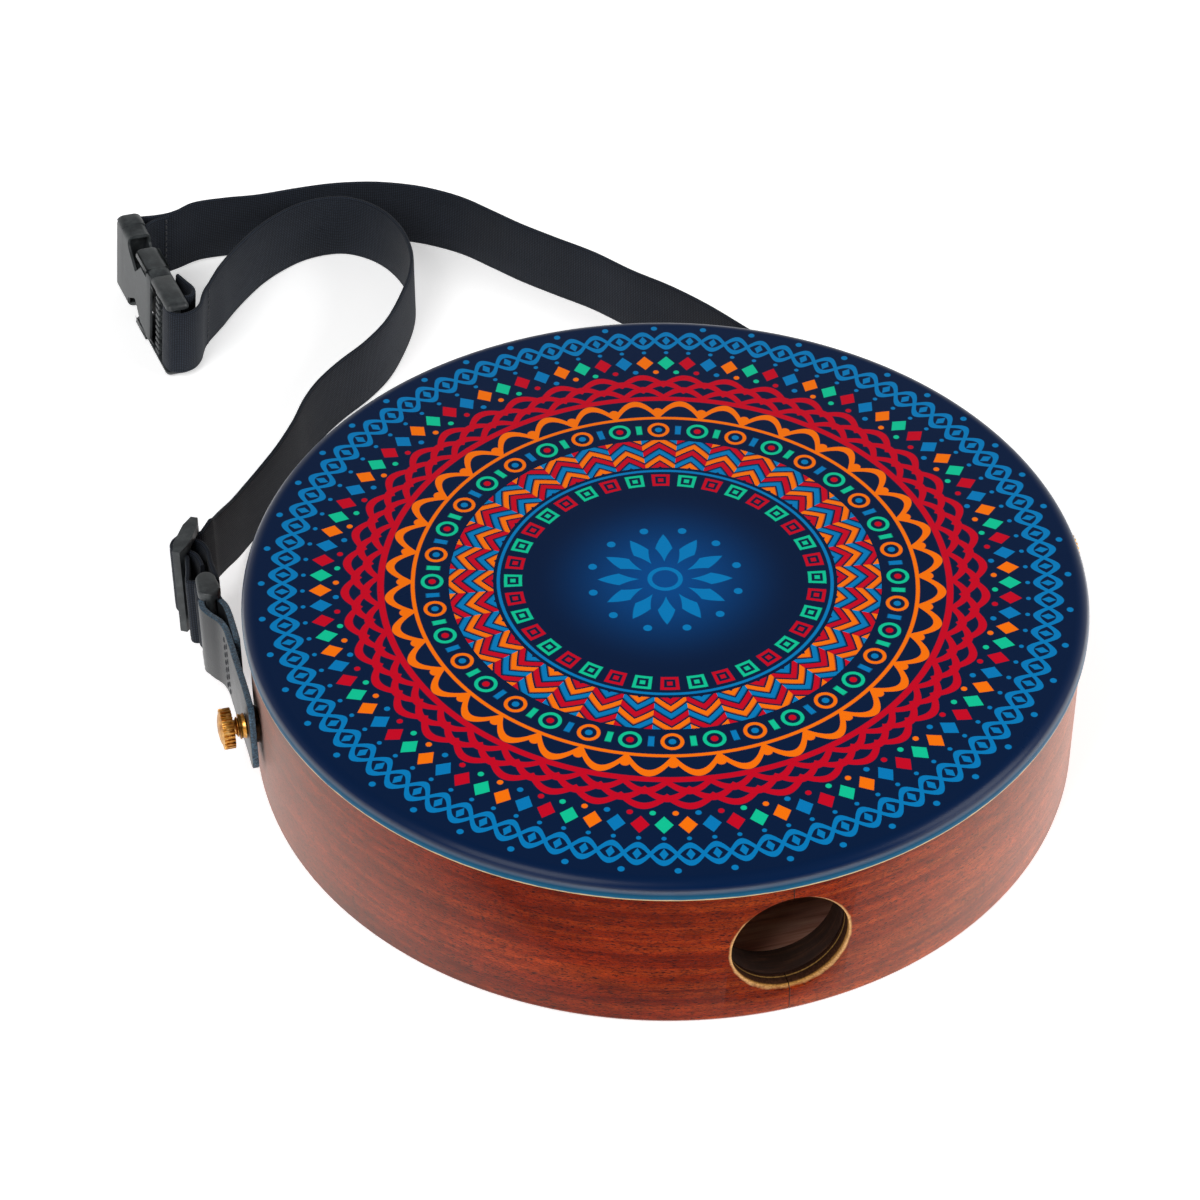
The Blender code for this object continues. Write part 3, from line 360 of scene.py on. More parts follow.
# %% Sewing thread
sewing_thread, tree, shader = new_material("bonded polyester thread", Roughness=0.6, IOR=1.5)
place = add(tree, "TexCoord").outputs["Object"]
plies = add(tree, "TexWave", place, Scale=800.0, Distortion=1.0, wave_type="BANDS",
            bands_direction="DIAGONAL")
colour = colour_stops(add(tree, "ValToRGB", plies.outputs["Fac"]), (0.2, "#141519"), (0.8, "#36383D"))
set_inputs(shader, Base_Color=colour)

# %% [markdown]
# ## Webbing
#
# The strap is a flat weave: thick warp yarns run along it, and thin weft yarns cross them. From
# a step away it reads as fine ribs in a grid. The band carries a UV map in metres, along and
# across, so the yarns follow every bend. The real pitch is about 0.6 mm; it is drawn at 0.7 mm.

# %% Webbing
woven_webbing, tree, shader = new_material("woven polyester webbing", Roughness=0.8, IOR=1.5,
                                           Specular_IOR_Level=0.25, Sheen_Weight=0.06,
                                           Sheen_Roughness=0.45)
yarn_pitch = 0.7 * mm
weave_place = add(tree, "TexCoord").outputs["UV"]
# A band wave repeats every pi / 10 of a unit, so this scale gives one band for each yarn.
yarn_scale = math.pi / 10 / yarn_pitch
warp = add(tree, "TexWave", weave_place, Scale=yarn_scale, Distortion=0.4, bands_direction="Y")
weft = add(tree, "TexWave", weave_place, Scale=yarn_scale, Distortion=0.4, bands_direction="X")
weave = add(tree, "Math MULTIPLY", warp.outputs["Fac"], weft.outputs["Fac"])
fuzz = add(tree, "TexNoise", weave_place, Scale=1600.0, Detail=3.0)
dust = add(tree, "TexNoise", weave_place, Scale=40.0, Detail=4.0)
yarns = add(tree, "Math MULTIPLY_ADD", fuzz, 0.5, weave)
colour = colour_stops(add(tree, "ValToRGB", yarns), (0.15, "#080C13"), (0.55, "#141A24"),
                      (1.0, "#252D3A"))
worn = add(tree, "MapRange", dust, 0.3, 0.7, 0.85, 1.15)
tone = add(tree, "Mix", 1.0, a_6=colour, a_7=worn, **multiply_colours)
bump = add(tree, "Bump", Height=yarns, Strength=0.5, Distance=0.0003)
set_inputs(shader, Base_Color=tone, Normal=bump)

# %% [markdown]
# ## The printed head
#
# The head's colours are printed in rings and lacquered over. A ring of motifs is one motif,
# repeated round the drum, so it is drawn in polar coordinates: how far round, in turns, and how
# far out, in millimetres. Each ring is a function that takes the colour under it and gives back
# the colour with its ink on top, so the rings stack like the passes of a screen print.

# %% Where a motif is
head_radius = 127.0
head_edge = 4.6
ink_spread = 0.12


def motif_place(tree, polar, middle, count, phase=0.0):
    """Inside one repeat of a ring: (across, outward, number of the repeat), in millimetres."""
    turn, radius = polar
    steps = add(tree, "Math MULTIPLY_ADD", turn, count, phase)
    number = add(tree, "Math FLOOR", steps)
    part = add(tree, "Math FRACT", steps)
    width = 2 * math.pi * middle / count
    across = add(tree, "Math MULTIPLY_ADD", part, width, -width / 2)
    outward = add(tree, "Math SUBTRACT", radius, middle)
    return across, outward, number


def ink(tree, under, distance, edge, colour):
    """Lay a colour where a distance is under an edge, with the soft border of screen ink."""
    mask = add(tree, "MapRange", distance, edge + ink_spread, edge - ink_spread)
    return add(tree, "Mix", mask, a_6=under, a_7=colour, **blend_colours)


def cycle_colours(tree, number, colours):
    """The colour of a repeat, taken in turn from a list of hex colours."""
    share = add(tree, "Math DIVIDE", number, len(colours))
    part = add(tree, "Math FRACT", share)
    middle = add(tree, "Math ADD", part, 0.5 / len(colours))
    ramp = add(tree, "ValToRGB", middle)
    ramp.color_ramp.interpolation = "CONSTANT"
    colour_stops(ramp, *((i / len(colours), colour) for i, colour in enumerate(colours)))
    return ramp


# %% [markdown]
# Most motifs are a small shape, filled or hollow: its distance function says how far a point is
# from its middle, and ink goes where that is less than its size. A dot measures with a circle,
# a lozenge with the sum of the two sides and a tile with the larger side.

# %% Rings of small shapes, lines, waves and stripes
def print_marks(tree, under, polar, middle, count, colours, form, size, hole=None, stretch=1.0,
                phase=0.0):
    """A ring of dots, lozenges or tiles, whose colours follow in turn."""
    across, outward, number = motif_place(tree, polar, middle, count, phase)
    side = add(tree, "Math ABSOLUTE", across)
    height = add(tree, "Math MULTIPLY", outward, stretch)
    rise = add(tree, "Math ABSOLUTE", height)
    if form == "dot":
        corner = add(tree, "CombineXYZ", side, rise)
        distance = add(tree, "VectorMath LENGTH", corner)
    else:
        measure = {"lozenge": "ADD", "tile": "MAXIMUM"}[form]
        distance = add(tree, "Math " + measure, side, rise)
    colour = cycle_colours(tree, number, colours)
    if hole is not None:
        middle_line = add(tree, "Math SUBTRACT", distance, (size + hole) / 2)
        distance = add(tree, "Math ABSOLUTE", middle_line)
        size = (size - hole) / 2
    return ink(tree, under, distance, size, colour)


def print_line(tree, under, polar, at, width, colour):
    """A plain ring line."""
    away = add(tree, "Math SUBTRACT", polar[1], at)
    distance = add(tree, "Math ABSOLUTE", away)
    return ink(tree, under, distance, width / 2, linear(colour))


def print_wave(tree, under, polar, middle, count, colour, height, width, scallop=False, phase=0.0):
    """A line that swings in and out as it goes round; a scallop has cusps on its inner side."""
    turns = add(tree, "Math MULTIPLY_ADD", polar[0], count, phase)
    angle = add(tree, "Math MULTIPLY", turns, math.pi if scallop else 2 * math.pi)
    swing = add(tree, "Math SINE", angle)
    if scallop:
        arch = add(tree, "Math ABSOLUTE", swing)
        swing = add(tree, "Math MULTIPLY_ADD", arch, 2.0, -1.0)
    line = add(tree, "Math MULTIPLY_ADD", swing, height, middle)
    away = add(tree, "Math SUBTRACT", polar[1], line)
    distance = add(tree, "Math ABSOLUTE", away)
    slope = 2 * math.pi * height / (2 * math.pi * middle / count)
    return ink(tree, under, distance, width / 2 * math.sqrt(1 + slope * slope / 2), linear(colour))


def print_chevrons(tree, under, polar, middle, count, colours, half_height, slope, pitch, share):
    """A band of nested arrow stripes that point round the drum's middle."""
    across, outward, number = motif_place(tree, polar, middle, count)
    side = add(tree, "Math ABSOLUTE", across)
    rise = add(tree, "Math MULTIPLY_ADD", side, slope, outward)
    rows = add(tree, "Math DIVIDE", rise, pitch)
    row = add(tree, "Math FLOOR", rows)
    part = add(tree, "Math FRACT", rows)
    reach = add(tree, "Math ABSOLUTE", outward)
    beyond = add(tree, "Math GREATER_THAN", reach, half_height)
    distance = add(tree, "Math MULTIPLY_ADD", beyond, pitch, part)
    in_turn = add(tree, "Math ADD", row, number)
    ordinal = add(tree, "Math ADD", in_turn, 12.0 * len(colours))
    return ink(tree, under, distance, share, cycle_colours(tree, ordinal, colours))


# %% [markdown]
# The design is a plain folk layout of simple shapes: a chain at the rim, then lozenges, scales,
# an arcade, beads, chevrons and tiles towards a quiet middle with a rosette.
# The ground is navy, with a soft blue glow sprayed in the middle. The lacquer is satin, and the
# edge of the ply under it is stained blue green, with the pale glue line below.

# %% Lacquered print
sky, teal, red, orange = "#0079B8", "#0AC394", "#C60222", "#FA7404"
head_print, tree, shader = new_material("lacquered screen print", IOR=1.45)
place = add(tree, "TexCoord").outputs["Object"]
parts = add(tree, "SeparateXYZ", place)
angle = add(tree, "Math ARCTAN2", parts.outputs["X"], parts.outputs["Y"])
turn = add(tree, "Math MULTIPLY_ADD", angle, 0.5 / math.pi, 0.5)
flat = add(tree, "CombineXYZ", parts.outputs["X"], parts.outputs["Y"])
out = add(tree, "VectorMath LENGTH", flat)
radius = add(tree, "Math DIVIDE", out, mm)
polar = (turn, radius)

glow = add(tree, "MapRange", polar[1], 0.0, 40.0, 1.0, 0.0, interpolation_type="SMOOTHSTEP")
print_colour = add(tree, "Mix", glow, a_6=linear("#021A3C"), a_7=linear("#02488A"), **blend_colours)
# Each ring: its function, then the function's sizes and colours, then its options.
rings = (
    (print_wave, (114.6, 48, sky, 3.4, 1.5), {}),
    (print_wave, (114.6, 48, sky, 3.4, 1.5), {"phase": 0.5}),
    (print_marks, (114.6, 96, [sky], "lozenge", 1.3), {"stretch": 0.6}),
    (print_marks, (120.9, 48, [sky], "dot", 1.0), {"phase": 0.5}),
    (print_marks, (108.5, 96, [sky], "dot", 0.7), {}),
    (print_marks, (103.2, 96, [teal, red, sky, orange], "lozenge", 2.7), {"stretch": 0.8}),
    (print_marks, (98.6, 96, [orange, teal, red, sky], "dot", 0.9), {"phase": 0.5}),
    (print_wave, (94.0, 44, red, 1.9, 2.1), {"scallop": True}),
    (print_wave, (91.0, 44, red, 1.9, 2.1), {"scallop": True, "phase": 0.5}),
    (print_wave, (88.0, 44, red, 1.9, 2.1), {"scallop": True}),
    (print_line, (85.2, 2.0, red), {}),
    (print_wave, (79.6, 36, orange, 3.2, 1.8), {"scallop": True, "phase": 0.5}),
    (print_line, (75.6, 1.2, orange), {}),
    (print_marks, (79.0, 36, [orange], "dot", 1.5), {}),
    (print_marks, (69.8, 36, [teal, orange], "dot", 3.4), {"hole": 2.3}),
    (print_marks, (69.8, 36, [red, sky], "dot", 1.1), {}),
    (print_marks, (69.8, 36, [sky, teal], "tile", 0.9), {"phase": 0.5, "stretch": 0.45}),
    (print_chevrons, (58.2, 36, [orange, sky, red], 6.6, 0.85, 3.0, 0.72), {}),
    (print_line, (50.0, 1.0, sky), {}),
    (print_marks, (45.6, 36, [teal, red], "tile", 2.7), {"hole": 1.7}),
    (print_marks, (45.6, 36, [teal, red], "tile", 0.8), {}),
    (print_marks, (14.0, 12, [sky], "lozenge", 2.6), {"stretch": 0.42}),
    (print_marks, (22.4, 12, [sky], "dot", 1.3), {"phase": 0.5}),
    (print_line, (4.6, 1.4, sky), {}),
)
for layer, sizes, options in rings:
    print_colour = layer(tree, print_colour, polar, *sizes, **options)

# The edge's colours go by height, in millimetres under the top of the head.
head_low, head_top, edge_height = 51.7, 57.7, 6.6
depth = add(tree, "Math MULTIPLY_ADD", parts.outputs["Z"], -1 / mm, head_top)
ragged = add(tree, "TexNoise", place, Scale=180.0, Detail=3.0)
edge_depth = add(tree, "Math MULTIPLY_ADD", ragged, 0.6, depth)
edge_share = add(tree, "MapRange", edge_depth, 0.0, edge_height)
edge_colour = colour_stops(add(tree, "ValToRGB", edge_share), (0.42, "#031A3A"), (0.58, "#023A58"),
                           (0.83, "#035270"), (0.88, "#C9B183"), (1.0, "#B2905C"))
on_edge = add(tree, "MapRange", edge_share, 0.34, 0.44)
whole = add(tree, "Mix", on_edge, a_6=print_colour, a_7=edge_colour, **blend_colours)
# Hands polish the crest of the rounded edge, so a narrow line there is glossier than the print.
crest = add(tree, "MapRange", depth, 0.0, edge_height)
gloss = colour_stops(add(tree, "ValToRGB", crest), (0.26, "#686868"), (0.38, "#E7E7E7"),
                     (0.47, "#E7E7E7"), (0.58, "#585858"))
handled = add(tree, "TexNoise", place, Scale=35.0, Detail=5.0)
rough = add(tree, "MapRange", handled, To_Min=0.24, To_Max=0.34)
peel = add(tree, "TexNoise", place, Scale=300.0, Detail=1.0)
bump = add(tree, "Bump", Height=peel, Strength=0.03, Distance=0.0003)
set_inputs(shader, Base_Color=whole, Specular_IOR_Level=gloss, Roughness=rough, Normal=bump)
print("the print has", len(tree.nodes), "nodes")

# %% [markdown]
# ## Modelling by hand
#
# The pieces below start as a primitive and are shaped in edit mode, as at the screen. A script
# has no mouse, so faces and edges are picked by a test on where their middle is. Sizes are in
# millimetres and turned to metres where they enter Blender. A piece is shaped in the frame of
# the thing that carries it, where its faces are square to the axes, and then its mesh is moved
# to its place on the drum, so that the object itself stays at the origin.

# %% Helpers for modelling
def begin():
    """Leave edit mode and select nothing, so the next operator acts only on what it adds."""
    if bpy.context.mode != "OBJECT":
        bpy.ops.object.mode_set(mode="OBJECT")
    bpy.ops.object.select_all(action="DESELECT")


def edit(piece):
    """Open one piece in edit mode."""
    begin()
    piece.select_set(True)
    bpy.context.view_layer.objects.active = piece
    bpy.ops.object.mode_set(mode="EDIT")


def add_block(name, low, high):
    """A cube primitive stretched between two corners, in millimetres."""
    begin()
    low, high = Vector(low) * mm, Vector(high) * mm
    bpy.ops.mesh.primitive_cube_add(size=1.0, location=(low + high) / 2)
    piece = bpy.context.object
    piece.name = name
    piece.scale = high - low
    bpy.ops.object.transform_apply(location=True, rotation=True, scale=True)
    return piece


def add_rod(name, radius, low, high, sides=32, place=(0.0, 0.0)):
    """A cylinder primitive that stands from one height to another, in millimetres."""
    begin()
    middle = (place[0] * mm, place[1] * mm, (low + high) / 2 * mm)
    bpy.ops.mesh.primitive_cylinder_add(vertices=sides, radius=radius * mm, depth=(high - low) * mm,
                                        location=middle)
    piece = bpy.context.object
    piece.name = name
    bpy.ops.object.transform_apply(location=True, rotation=True, scale=True)
    return piece


def choose(piece, kind, test):
    """In edit mode, select the VERT, EDGE or FACE items whose middle, in millimetres, passes a test."""
    bpy.ops.mesh.select_mode(type=kind)
    bpy.ops.mesh.select_all(action="DESELECT")
    bm = bmesh.from_edit_mesh(piece.data)
    for item in {"VERT": bm.verts, "EDGE": bm.edges, "FACE": bm.faces}[kind]:
        corners = [item] if kind == "VERT" else item.verts
        middle = sum((v.co for v in corners), Vector()) / len(corners) / mm
        item.select_set(bool(test(middle, item)))
    bm.select_flush_mode()
    bmesh.update_edit_mesh(piece.data)


def score(place, facing):
    """Cut a line of edges across everything, where a plane through a place crosses it."""
    bpy.ops.mesh.select_all(action="SELECT")
    bpy.ops.mesh.bisect(plane_co=[v * mm for v in place], plane_no=facing)


def runs_along(edge, axis):
    """Whether an edge lies along the X, Y or Z axis, given as 0, 1 or 2."""
    way = (edge.verts[1].co - edge.verts[0].co).normalized()
    return abs(way[axis]) > 0.999


def modify(piece, kind, **settings):
    """Add a modifier and apply it."""
    begin()
    modifier = piece.modifiers.new(kind.title(), kind)
    for setting, value in settings.items():
        setattr(modifier, setting, value)
    bpy.context.view_layer.objects.active = piece
    bpy.ops.object.modifier_apply(modifier=modifier.name)


def combine(piece, tool, operation="DIFFERENCE"):
    """Cut, join or trim a piece with a tool, and put the tool away."""
    modify(piece, "BOOLEAN", operation=operation, object=tool, solver="EXACT")
    bpy.data.objects.remove(tool, do_unlink=True)


def soften(piece, width, segments=3, angle=35):
    """Round every edge sharper than an angle, as a mould or a file leaves it."""
    modify(piece, "BEVEL", width=width * mm, segments=segments, limit_method="ANGLE",
           angle_limit=math.radians(angle))


def seat(piece, place, materials, smooth_angle=40):
    """Move a finished mesh to its place on the drum, and give it its finish."""
    begin()
    piece.data.transform(place)
    if place.determinant() < 0:
        piece.data.flip_normals()
    for material in materials if not piece.data.materials else ():
        piece.data.materials.append(material)
    piece.select_set(True)
    bpy.context.view_layer.objects.active = piece
    bpy.ops.object.shade_smooth_by_angle(angle=math.radians(smooth_angle))
    print(piece.name, "has", len(piece.data.polygons), "faces")


def round_edges(piece, width, segments, test):
    """In edit mode, round the edges whose middle passes a test, by a width in millimetres."""
    choose(piece, "EDGE", test)
    bpy.ops.mesh.bevel(offset=width * mm, segments=segments, affect="EDGES")


def turn_over(piece):
    """Mirror a mesh top to bottom, and turn its faces out again."""
    piece.data.transform(Matrix.Scale(-1, 4, (0, 0, 1)))
    piece.data.flip_normals()


def copy_of(piece, name):
    """A copy with a mesh of its own."""
    twin = bpy.data.objects.new(name, piece.data.copy())
    bpy.context.scene.collection.objects.link(twin)
    return twin


# %% [markdown]
# ## The head
#
# The head is a disc of thin ply with a rounded upper edge, where it was routed after gluing. A
# cylinder gives the disc, and a bevel on its upper rim gives the round in ten steps, enough for
# the highlight to run along it without a break.

# %% Model the head
head = add_rod("head", head_radius, head_low, head_top, sides=240)
edit(head)
round_edges(head, head_edge, 10, lambda m, e: m.z > head_top - 0.1 and m.xy.length > head_radius - 1)
round_edges(head, 0.5, 3, lambda m, e: m.z < head_low + 0.1 and m.xy.length > head_radius - 1)
seat(head, Matrix.Identity(4), [head_print])
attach(head, "drum")
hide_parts("head_panel")

# %% [markdown]
# ## The strap
#
# The strap is flat polyester webbing, 25 mm wide and 1.5 mm thick. It stands on its edge on
# the floor, so its shape is a route seen from above, with the width standing up from it. A
# curve with a bevel would twist, so the band is built station by station: at each place on the
# route a small cross-section is set square to it. The route's points are the part's own.

# %% Where the strap's frames are
left_anchor_turn = math.radians(1.5)
right_anchor_turn = math.radians(4.0)
anchor_height = 28.013 * mm
left_drop = math.radians(2.5)
right_drop = math.radians(11.0)
leather_middle = 128.3 * mm
ring_reach = 45.0 * mm
left_bar = (leather_middle + 2.8 * mm, ring_reach)
right_bar = (leather_middle - 4.8 * mm, ring_reach)
ring_bar_spacing = 9.6
right_ring_turn = math.radians(17.5)
webbing_width = 25.0 * mm
webbing_thickness = 1.5 * mm


def frame_from(along, across, up, place):
    """A matrix from its three axes and its origin."""
    matrix = Matrix((along, across, up)).transposed().to_4x4()
    matrix.translation = place
    return matrix


def anchor_frame(side, drop):
    """(outward, backward, up) from the middle of the drum at the screw's height."""
    anchor_turn = left_anchor_turn if side < 0 else right_anchor_turn
    outward = Vector((side * math.cos(anchor_turn), math.sin(anchor_turn), 0))
    backward = Vector((-side * math.sin(anchor_turn), math.cos(anchor_turn), 0))
    up = Vector((0, 0, 1))
    return frame_from(outward, backward * math.cos(drop) - up * math.sin(drop),
                      backward * math.sin(drop) + up * math.cos(drop), Vector((0, 0, anchor_height)))


left_frame = anchor_frame(-1, left_drop)
right_frame = anchor_frame(1, right_drop)
heading = math.radians(28.2)
adjuster_place = (133.6 * mm, 74.7 * mm, 0)
adjuster_frame = left_frame @ frame_from(
    Vector((math.sin(heading), -math.cos(heading), 0)),
    Vector((math.cos(heading), math.sin(heading), 0)),
    Vector((0, 0, 1)), Vector(adjuster_place))
buckle_along = Vector((0.1210, -0.9927, 0)).normalized()
buckle_across = Vector((-buckle_along.y, buckle_along.x, 0))
buckle_frame = frame_from(buckle_along, buckle_across, Vector((0, 0, 1)),
                          Vector((-115.316, 261.493, 14.8)) * mm)
# The folded webbing pushes the buckle over a little, so it stands on one lower edge.
buckle_lean = Matrix.Rotation(math.radians(-5), 4, "X")
buckle_frame = buckle_frame @ Matrix.Translation((0, -1.25 * mm, 0.35 * mm)) @ buckle_lean


def ring_frame(group, bar, turn):
    """(away from the drum, along the ring, up) from the middle of the ring's far bar."""
    along = Vector((-math.sin(turn), math.cos(turn), 0))
    across = Vector((along.y, -along.x, 0))
    far_bar = Vector((*bar, 0)) + along * ring_bar_spacing * mm
    return group @ frame_from(across, along, Vector((0, 0, 1)), far_bar)


left_ring_frame = ring_frame(left_frame, left_bar, 0.0)
right_ring_frame = ring_frame(right_frame, right_bar, right_ring_turn)
print("the buckle is at", [round(v, 4) for v in buckle_frame.translation])

# %% [markdown]
# A route is a list of places along the strap's middle line, in millimetres. On the floor a place
# has a height too, because the strap lifts where it nears the buckle and the tabs. In a buckle,
# an adjuster or a ring it goes round bars, so there it is given in that piece's own frame.

# %% The strap's routes
front_floor = [
    (-90.8, 228.0, 1.6), (-86.0, 235.0, 0.6), (-80.0, 242.2, 0), (-72.5, 249.2, 0), (-64.5, 254.6, 0),
    (-56.0, 258.4, 0), (-47.5, 259.6, 0), (-40.0, 258.2, 0), (-33.4, 253.4, 0), (-28.4, 246.4, 0),
    (-25.4, 238.0, 0), (-24.3, 229.0, 0), (-25.1, 218.8, 0), (-28.6, 208.2, 0), (-35.0, 196.2, 0),
    (-42.4, 185.4, 0), (-51.5, 176.6, 0), (-62.4, 168.6, 0), (-71.0, 161.0, 0), (-77.6, 152.8, 0),
    (-83.9, 142.3, 0), (-91.6, 131.6, 0), (-99.2, 122.4, 0.2), (-106.2, 113.6, 1.2),
    (-111.8, 105.4, 3.4), (-116.6, 98.0, 6.6), (-120.4, 91.8, 9.2),
]
back_floor = [
    (-91.0, 267.4, 1.4), (-80.0, 268.4, 0.4), (-68.5, 267.6, 0), (-54.0, 267.6, 0), (-41.0, 266.8, 0),
    (-28.0, 263.9, 0), (-16.6, 259.0, 0), (-8.0, 253.4, 0), (0.4, 245.8, 0), (8.4, 235.4, 0),
    (15.6, 225.8, 0), (24.8, 215.2, 0), (35.6, 203.2, 0), (45.2, 189.8, 0), (55.6, 177.4, 0),
    (65.0, 163.6, 0), (74.6, 146.4, 0), (84.4, 129.6, 0), (95.2, 112.4, 0.4), (105.6, 96.6, 1.6),
    (112.4, 84.6, 3.0),
]
adjuster_in = [
    (-13.5, -3.5), (-10.4, -3.2), (-8.2, -2.95), (-7.0, -2.8), (-5.9, -2.2), (-5.1, -1.1), (-4.6, 0.4),
    (-3.4, 3.2), (0, 4.45), (3.4, 3.2), (4.6, 0.4), (5.1, -1.1), (5.9, -2.2), (7.0, -2.8),
    (8.6, -3.2), (10.6, -4.0), (13.5, -5.0), (17.0, -6.2),
]
adjuster_out = [
    (14.0, -14.7), (10.0, -12.4), (5.6, -9.7), (1.4, -7.6), (-1.8, -4.6), (-2.75, -1.6),
    (-2.4, 1.2), (0, 2.65), (2.4, 1.2), (2.85, -1.6), (4.1, -4.6), (6.8, -6.9), (9.0, -8.3),
]
plug_loop = [
    (42.5, 15.2), (45.9, 12.4), (49.0, 10.6), (52.8, 8.5), (55.8, 5.2), (56.8, 0.9), (55.2, -2.2),
    (52.0, -3.1), (49.4, -3.0), (48.0, -1.6), (47.7, 1.0), (47.6, 4.4), (46.9, 7.6),
    (43.6, 8.9), (39.2, 7.7), (34.6, 6.3),
]
socket_loop = [
    (-1.6, 18.6), (-0.6, 14.6), (-0.5, 10.2), (-1.1, 5.4), (-1.8, 1.6), (-1.3, -1.3), (0.6, -1.95),
    (3.4, -1.95), (5.2, -1.1), (5.8, 0.9), (5.0, 3.6), (3.2, 6.2), (1.8, 9.2), (1.3, 12.0), (0.9, 14.4),
]
right_arrival = [(4.6, 13.0), (3.6, 8.0), (3.1, 4.0)]
right_tail = [(-1.6, 4.0), (0.6, 8.0), (2.3, 13.0)]
turn_radius = 2.95


def arc_points(radius, start, end, count):
    """Points on an arc about the origin, between two angles in degrees."""
    turns = [math.radians(start + (end - start) * i / (count - 1)) for i in range(count)]
    return [(radius * math.cos(t), radius * math.sin(t)) for t in turns]


def stations_in(matrix, points):
    """Stations (place, up) from points (along, across) in a piece's frame."""
    up = (matrix.to_3x3() @ Vector((0, 0, 1))).normalized()
    return [(matrix @ Vector((a * mm, b * mm, 0)), up) for a, b in points]


def stations_on_floor(points):
    """Stations (place, up) from points on the floor, half the strap's width above it."""
    up = Vector((0, 0, 1))
    return [(Vector((x * mm, y * mm, z * mm + webbing_width / 2)), up) for x, y, z in points]


def path_length(path):
    """How long the way through a list of places is."""
    return sum((b - a).length for a, b in zip(path, path[1:]))


def smooth_route(stations, step):
    """A Catmull-Rom curve through the stations, as (place, up, length so far, station number)."""
    filled, last, run = [], len(stations) - 1, 0.0
    for i in range(last + 1):
        four = [stations[max(0, min(last, i + k))] for k in (-1, 0, 1, 2)]
        a, b, c, d = (s[0] for s in four)
        count = max(2, math.ceil((c - b).length / step)) if i < last else 1
        for k in range(count):
            t = k / count
            place = 0.5 * (2 * b + (c - a) * t + (2 * a - 5 * b + 4 * c - d) * t * t
                           + (3 * b - a - 3 * c + d) * t ** 3)
            run += (place - filled[-1][0]).length if filled else 0.0
            filled.append((place, four[1][1].lerp(four[2][1], t).normalized(), run, i + t))
    return filled


print("floor routes of", len(front_floor), "and", len(back_floor), "places")

# %% [markdown]
# The band's section is a loop of points with rounded selvedges. One row of it stands at each
# station and the rows are joined with faces, as an extrusion along a curve would do it, but with
# the width always upright. Its UV map counts metres, so the weave is never stretched.

# %% The band itself
# Across the band, in millimetres: the selvedge is rounded, with a faint groove inside it.
half_section = [(-12.5, 0.0), (-12.28, -0.5), (-11.75, -0.72), (-11.15, -0.64), (-10.6, -0.75),
                (-5.3, -0.75), (0, -0.75), (5.3, -0.75), (10.6, -0.75), (11.15, -0.64), (11.75, -0.72),
                (12.28, -0.5), (12.5, 0.0)]
band_section = half_section + [(w, -t) for w, t in reversed(half_section[1:-1])]


def make_band(name, route, first, last):
    """A stretch of webbing between two station numbers, with a UV map in metres."""
    stretch = [s for s in route if first - 1e-6 <= s[3] <= last + 1e-6]
    if len(stretch) > 2 and (stretch[-1][2] - stretch[-2][2]) < 0.02 * mm:
        stretch.pop(-2)
    bm = bmesh.new()
    uv = bm.loops.layers.uv.new("UVMap")
    rows = []
    for station in stretch:
        place, up = station[:2]
        at = route.index(station)
        before, after = route[max(0, at - 1)][0], route[min(len(route) - 1, at + 1)][0]
        side = up.cross(after - before).normalized()
        rows.append([bm.verts.new(place + up * w * mm + side * t * mm) for w, t in band_section])
    count = len(band_section)
    for i in range(len(rows) - 1):
        for k in range(count):
            n = (k + 1) % count
            face = bm.faces.new((rows[i][k], rows[i][n], rows[i + 1][n], rows[i + 1][k]))
            face.smooth = True
            spots = ((i, k), (i, n), (i + 1, n), (i + 1, k))
            for loop, (row, col) in zip(face.loops, spots):
                loop[uv].uv = (stretch[row][2], band_section[col][0] * mm)
    for row in (rows[0], rows[-1]):
        for edge in bm.faces.new(row).edges:
            edge.smooth = False
    bmesh.ops.recalc_face_normals(bm, faces=bm.faces)
    mesh = bpy.data.meshes.new(name)
    bm.to_mesh(mesh)
    bm.free()
    mesh.materials.append(woven_webbing)
    band = bpy.data.objects.new(name, mesh)
    bpy.context.scene.collection.objects.link(band)
    return band, [s[0] for s in stretch]


front_stations = list(reversed(stations_in(buckle_frame, plug_loop))) + stations_on_floor(front_floor)
# The rise is the last 55 mm on the floor before the adjuster, so the strap lifts gently.
front_near = len(front_stations) - 6
front_stations += stations_in(adjuster_frame, adjuster_in)
front_arrive = front_near + 6
front_middle = front_arrive + 8
front_ring_start = len(front_stations) - 2
front_stations += stations_in(left_ring_frame, arc_points(turn_radius, start=20, end=-200, count=9))
front_ring_end = len(front_stations)
front_stations += stations_in(adjuster_frame, adjuster_out)
front_end = len(front_stations) - 1
front_route = smooth_route(front_stations, 1.2 * mm)
print("front strap is", round(front_route[-1][2], 3), "m long")

back_stations = list(reversed(stations_in(buckle_frame, socket_loop))) + stations_on_floor(back_floor)
back_near = len(back_stations) - 3
back_stations += stations_in(right_ring_frame, right_arrival)
back_arrive = back_near + 4
back_stations += stations_in(right_ring_frame,
                             arc_points(turn_radius, start=0, end=-190, count=9) + right_tail)
back_end = len(back_stations) - 1
back_route = smooth_route(back_stations, 1.2 * mm)
print("back strap is", round(back_route[-1][2], 3), "m long")

# %% [markdown]
# The strap crosses joints: the tabs swivel, the rings swing, the adjuster slides and the buckle
# comes apart. Each half of it is cut into stretches that end where both sides of the cut follow the
# same body, so that no gap opens. A stretch with one body goes with it, and the rest stay where
# they are laid.

# %% Lay the strap
def station_place(route, number):
    """The place on a route that is nearest to a station number."""
    return min(route, key=lambda s: abs(s[3] - number))[0]


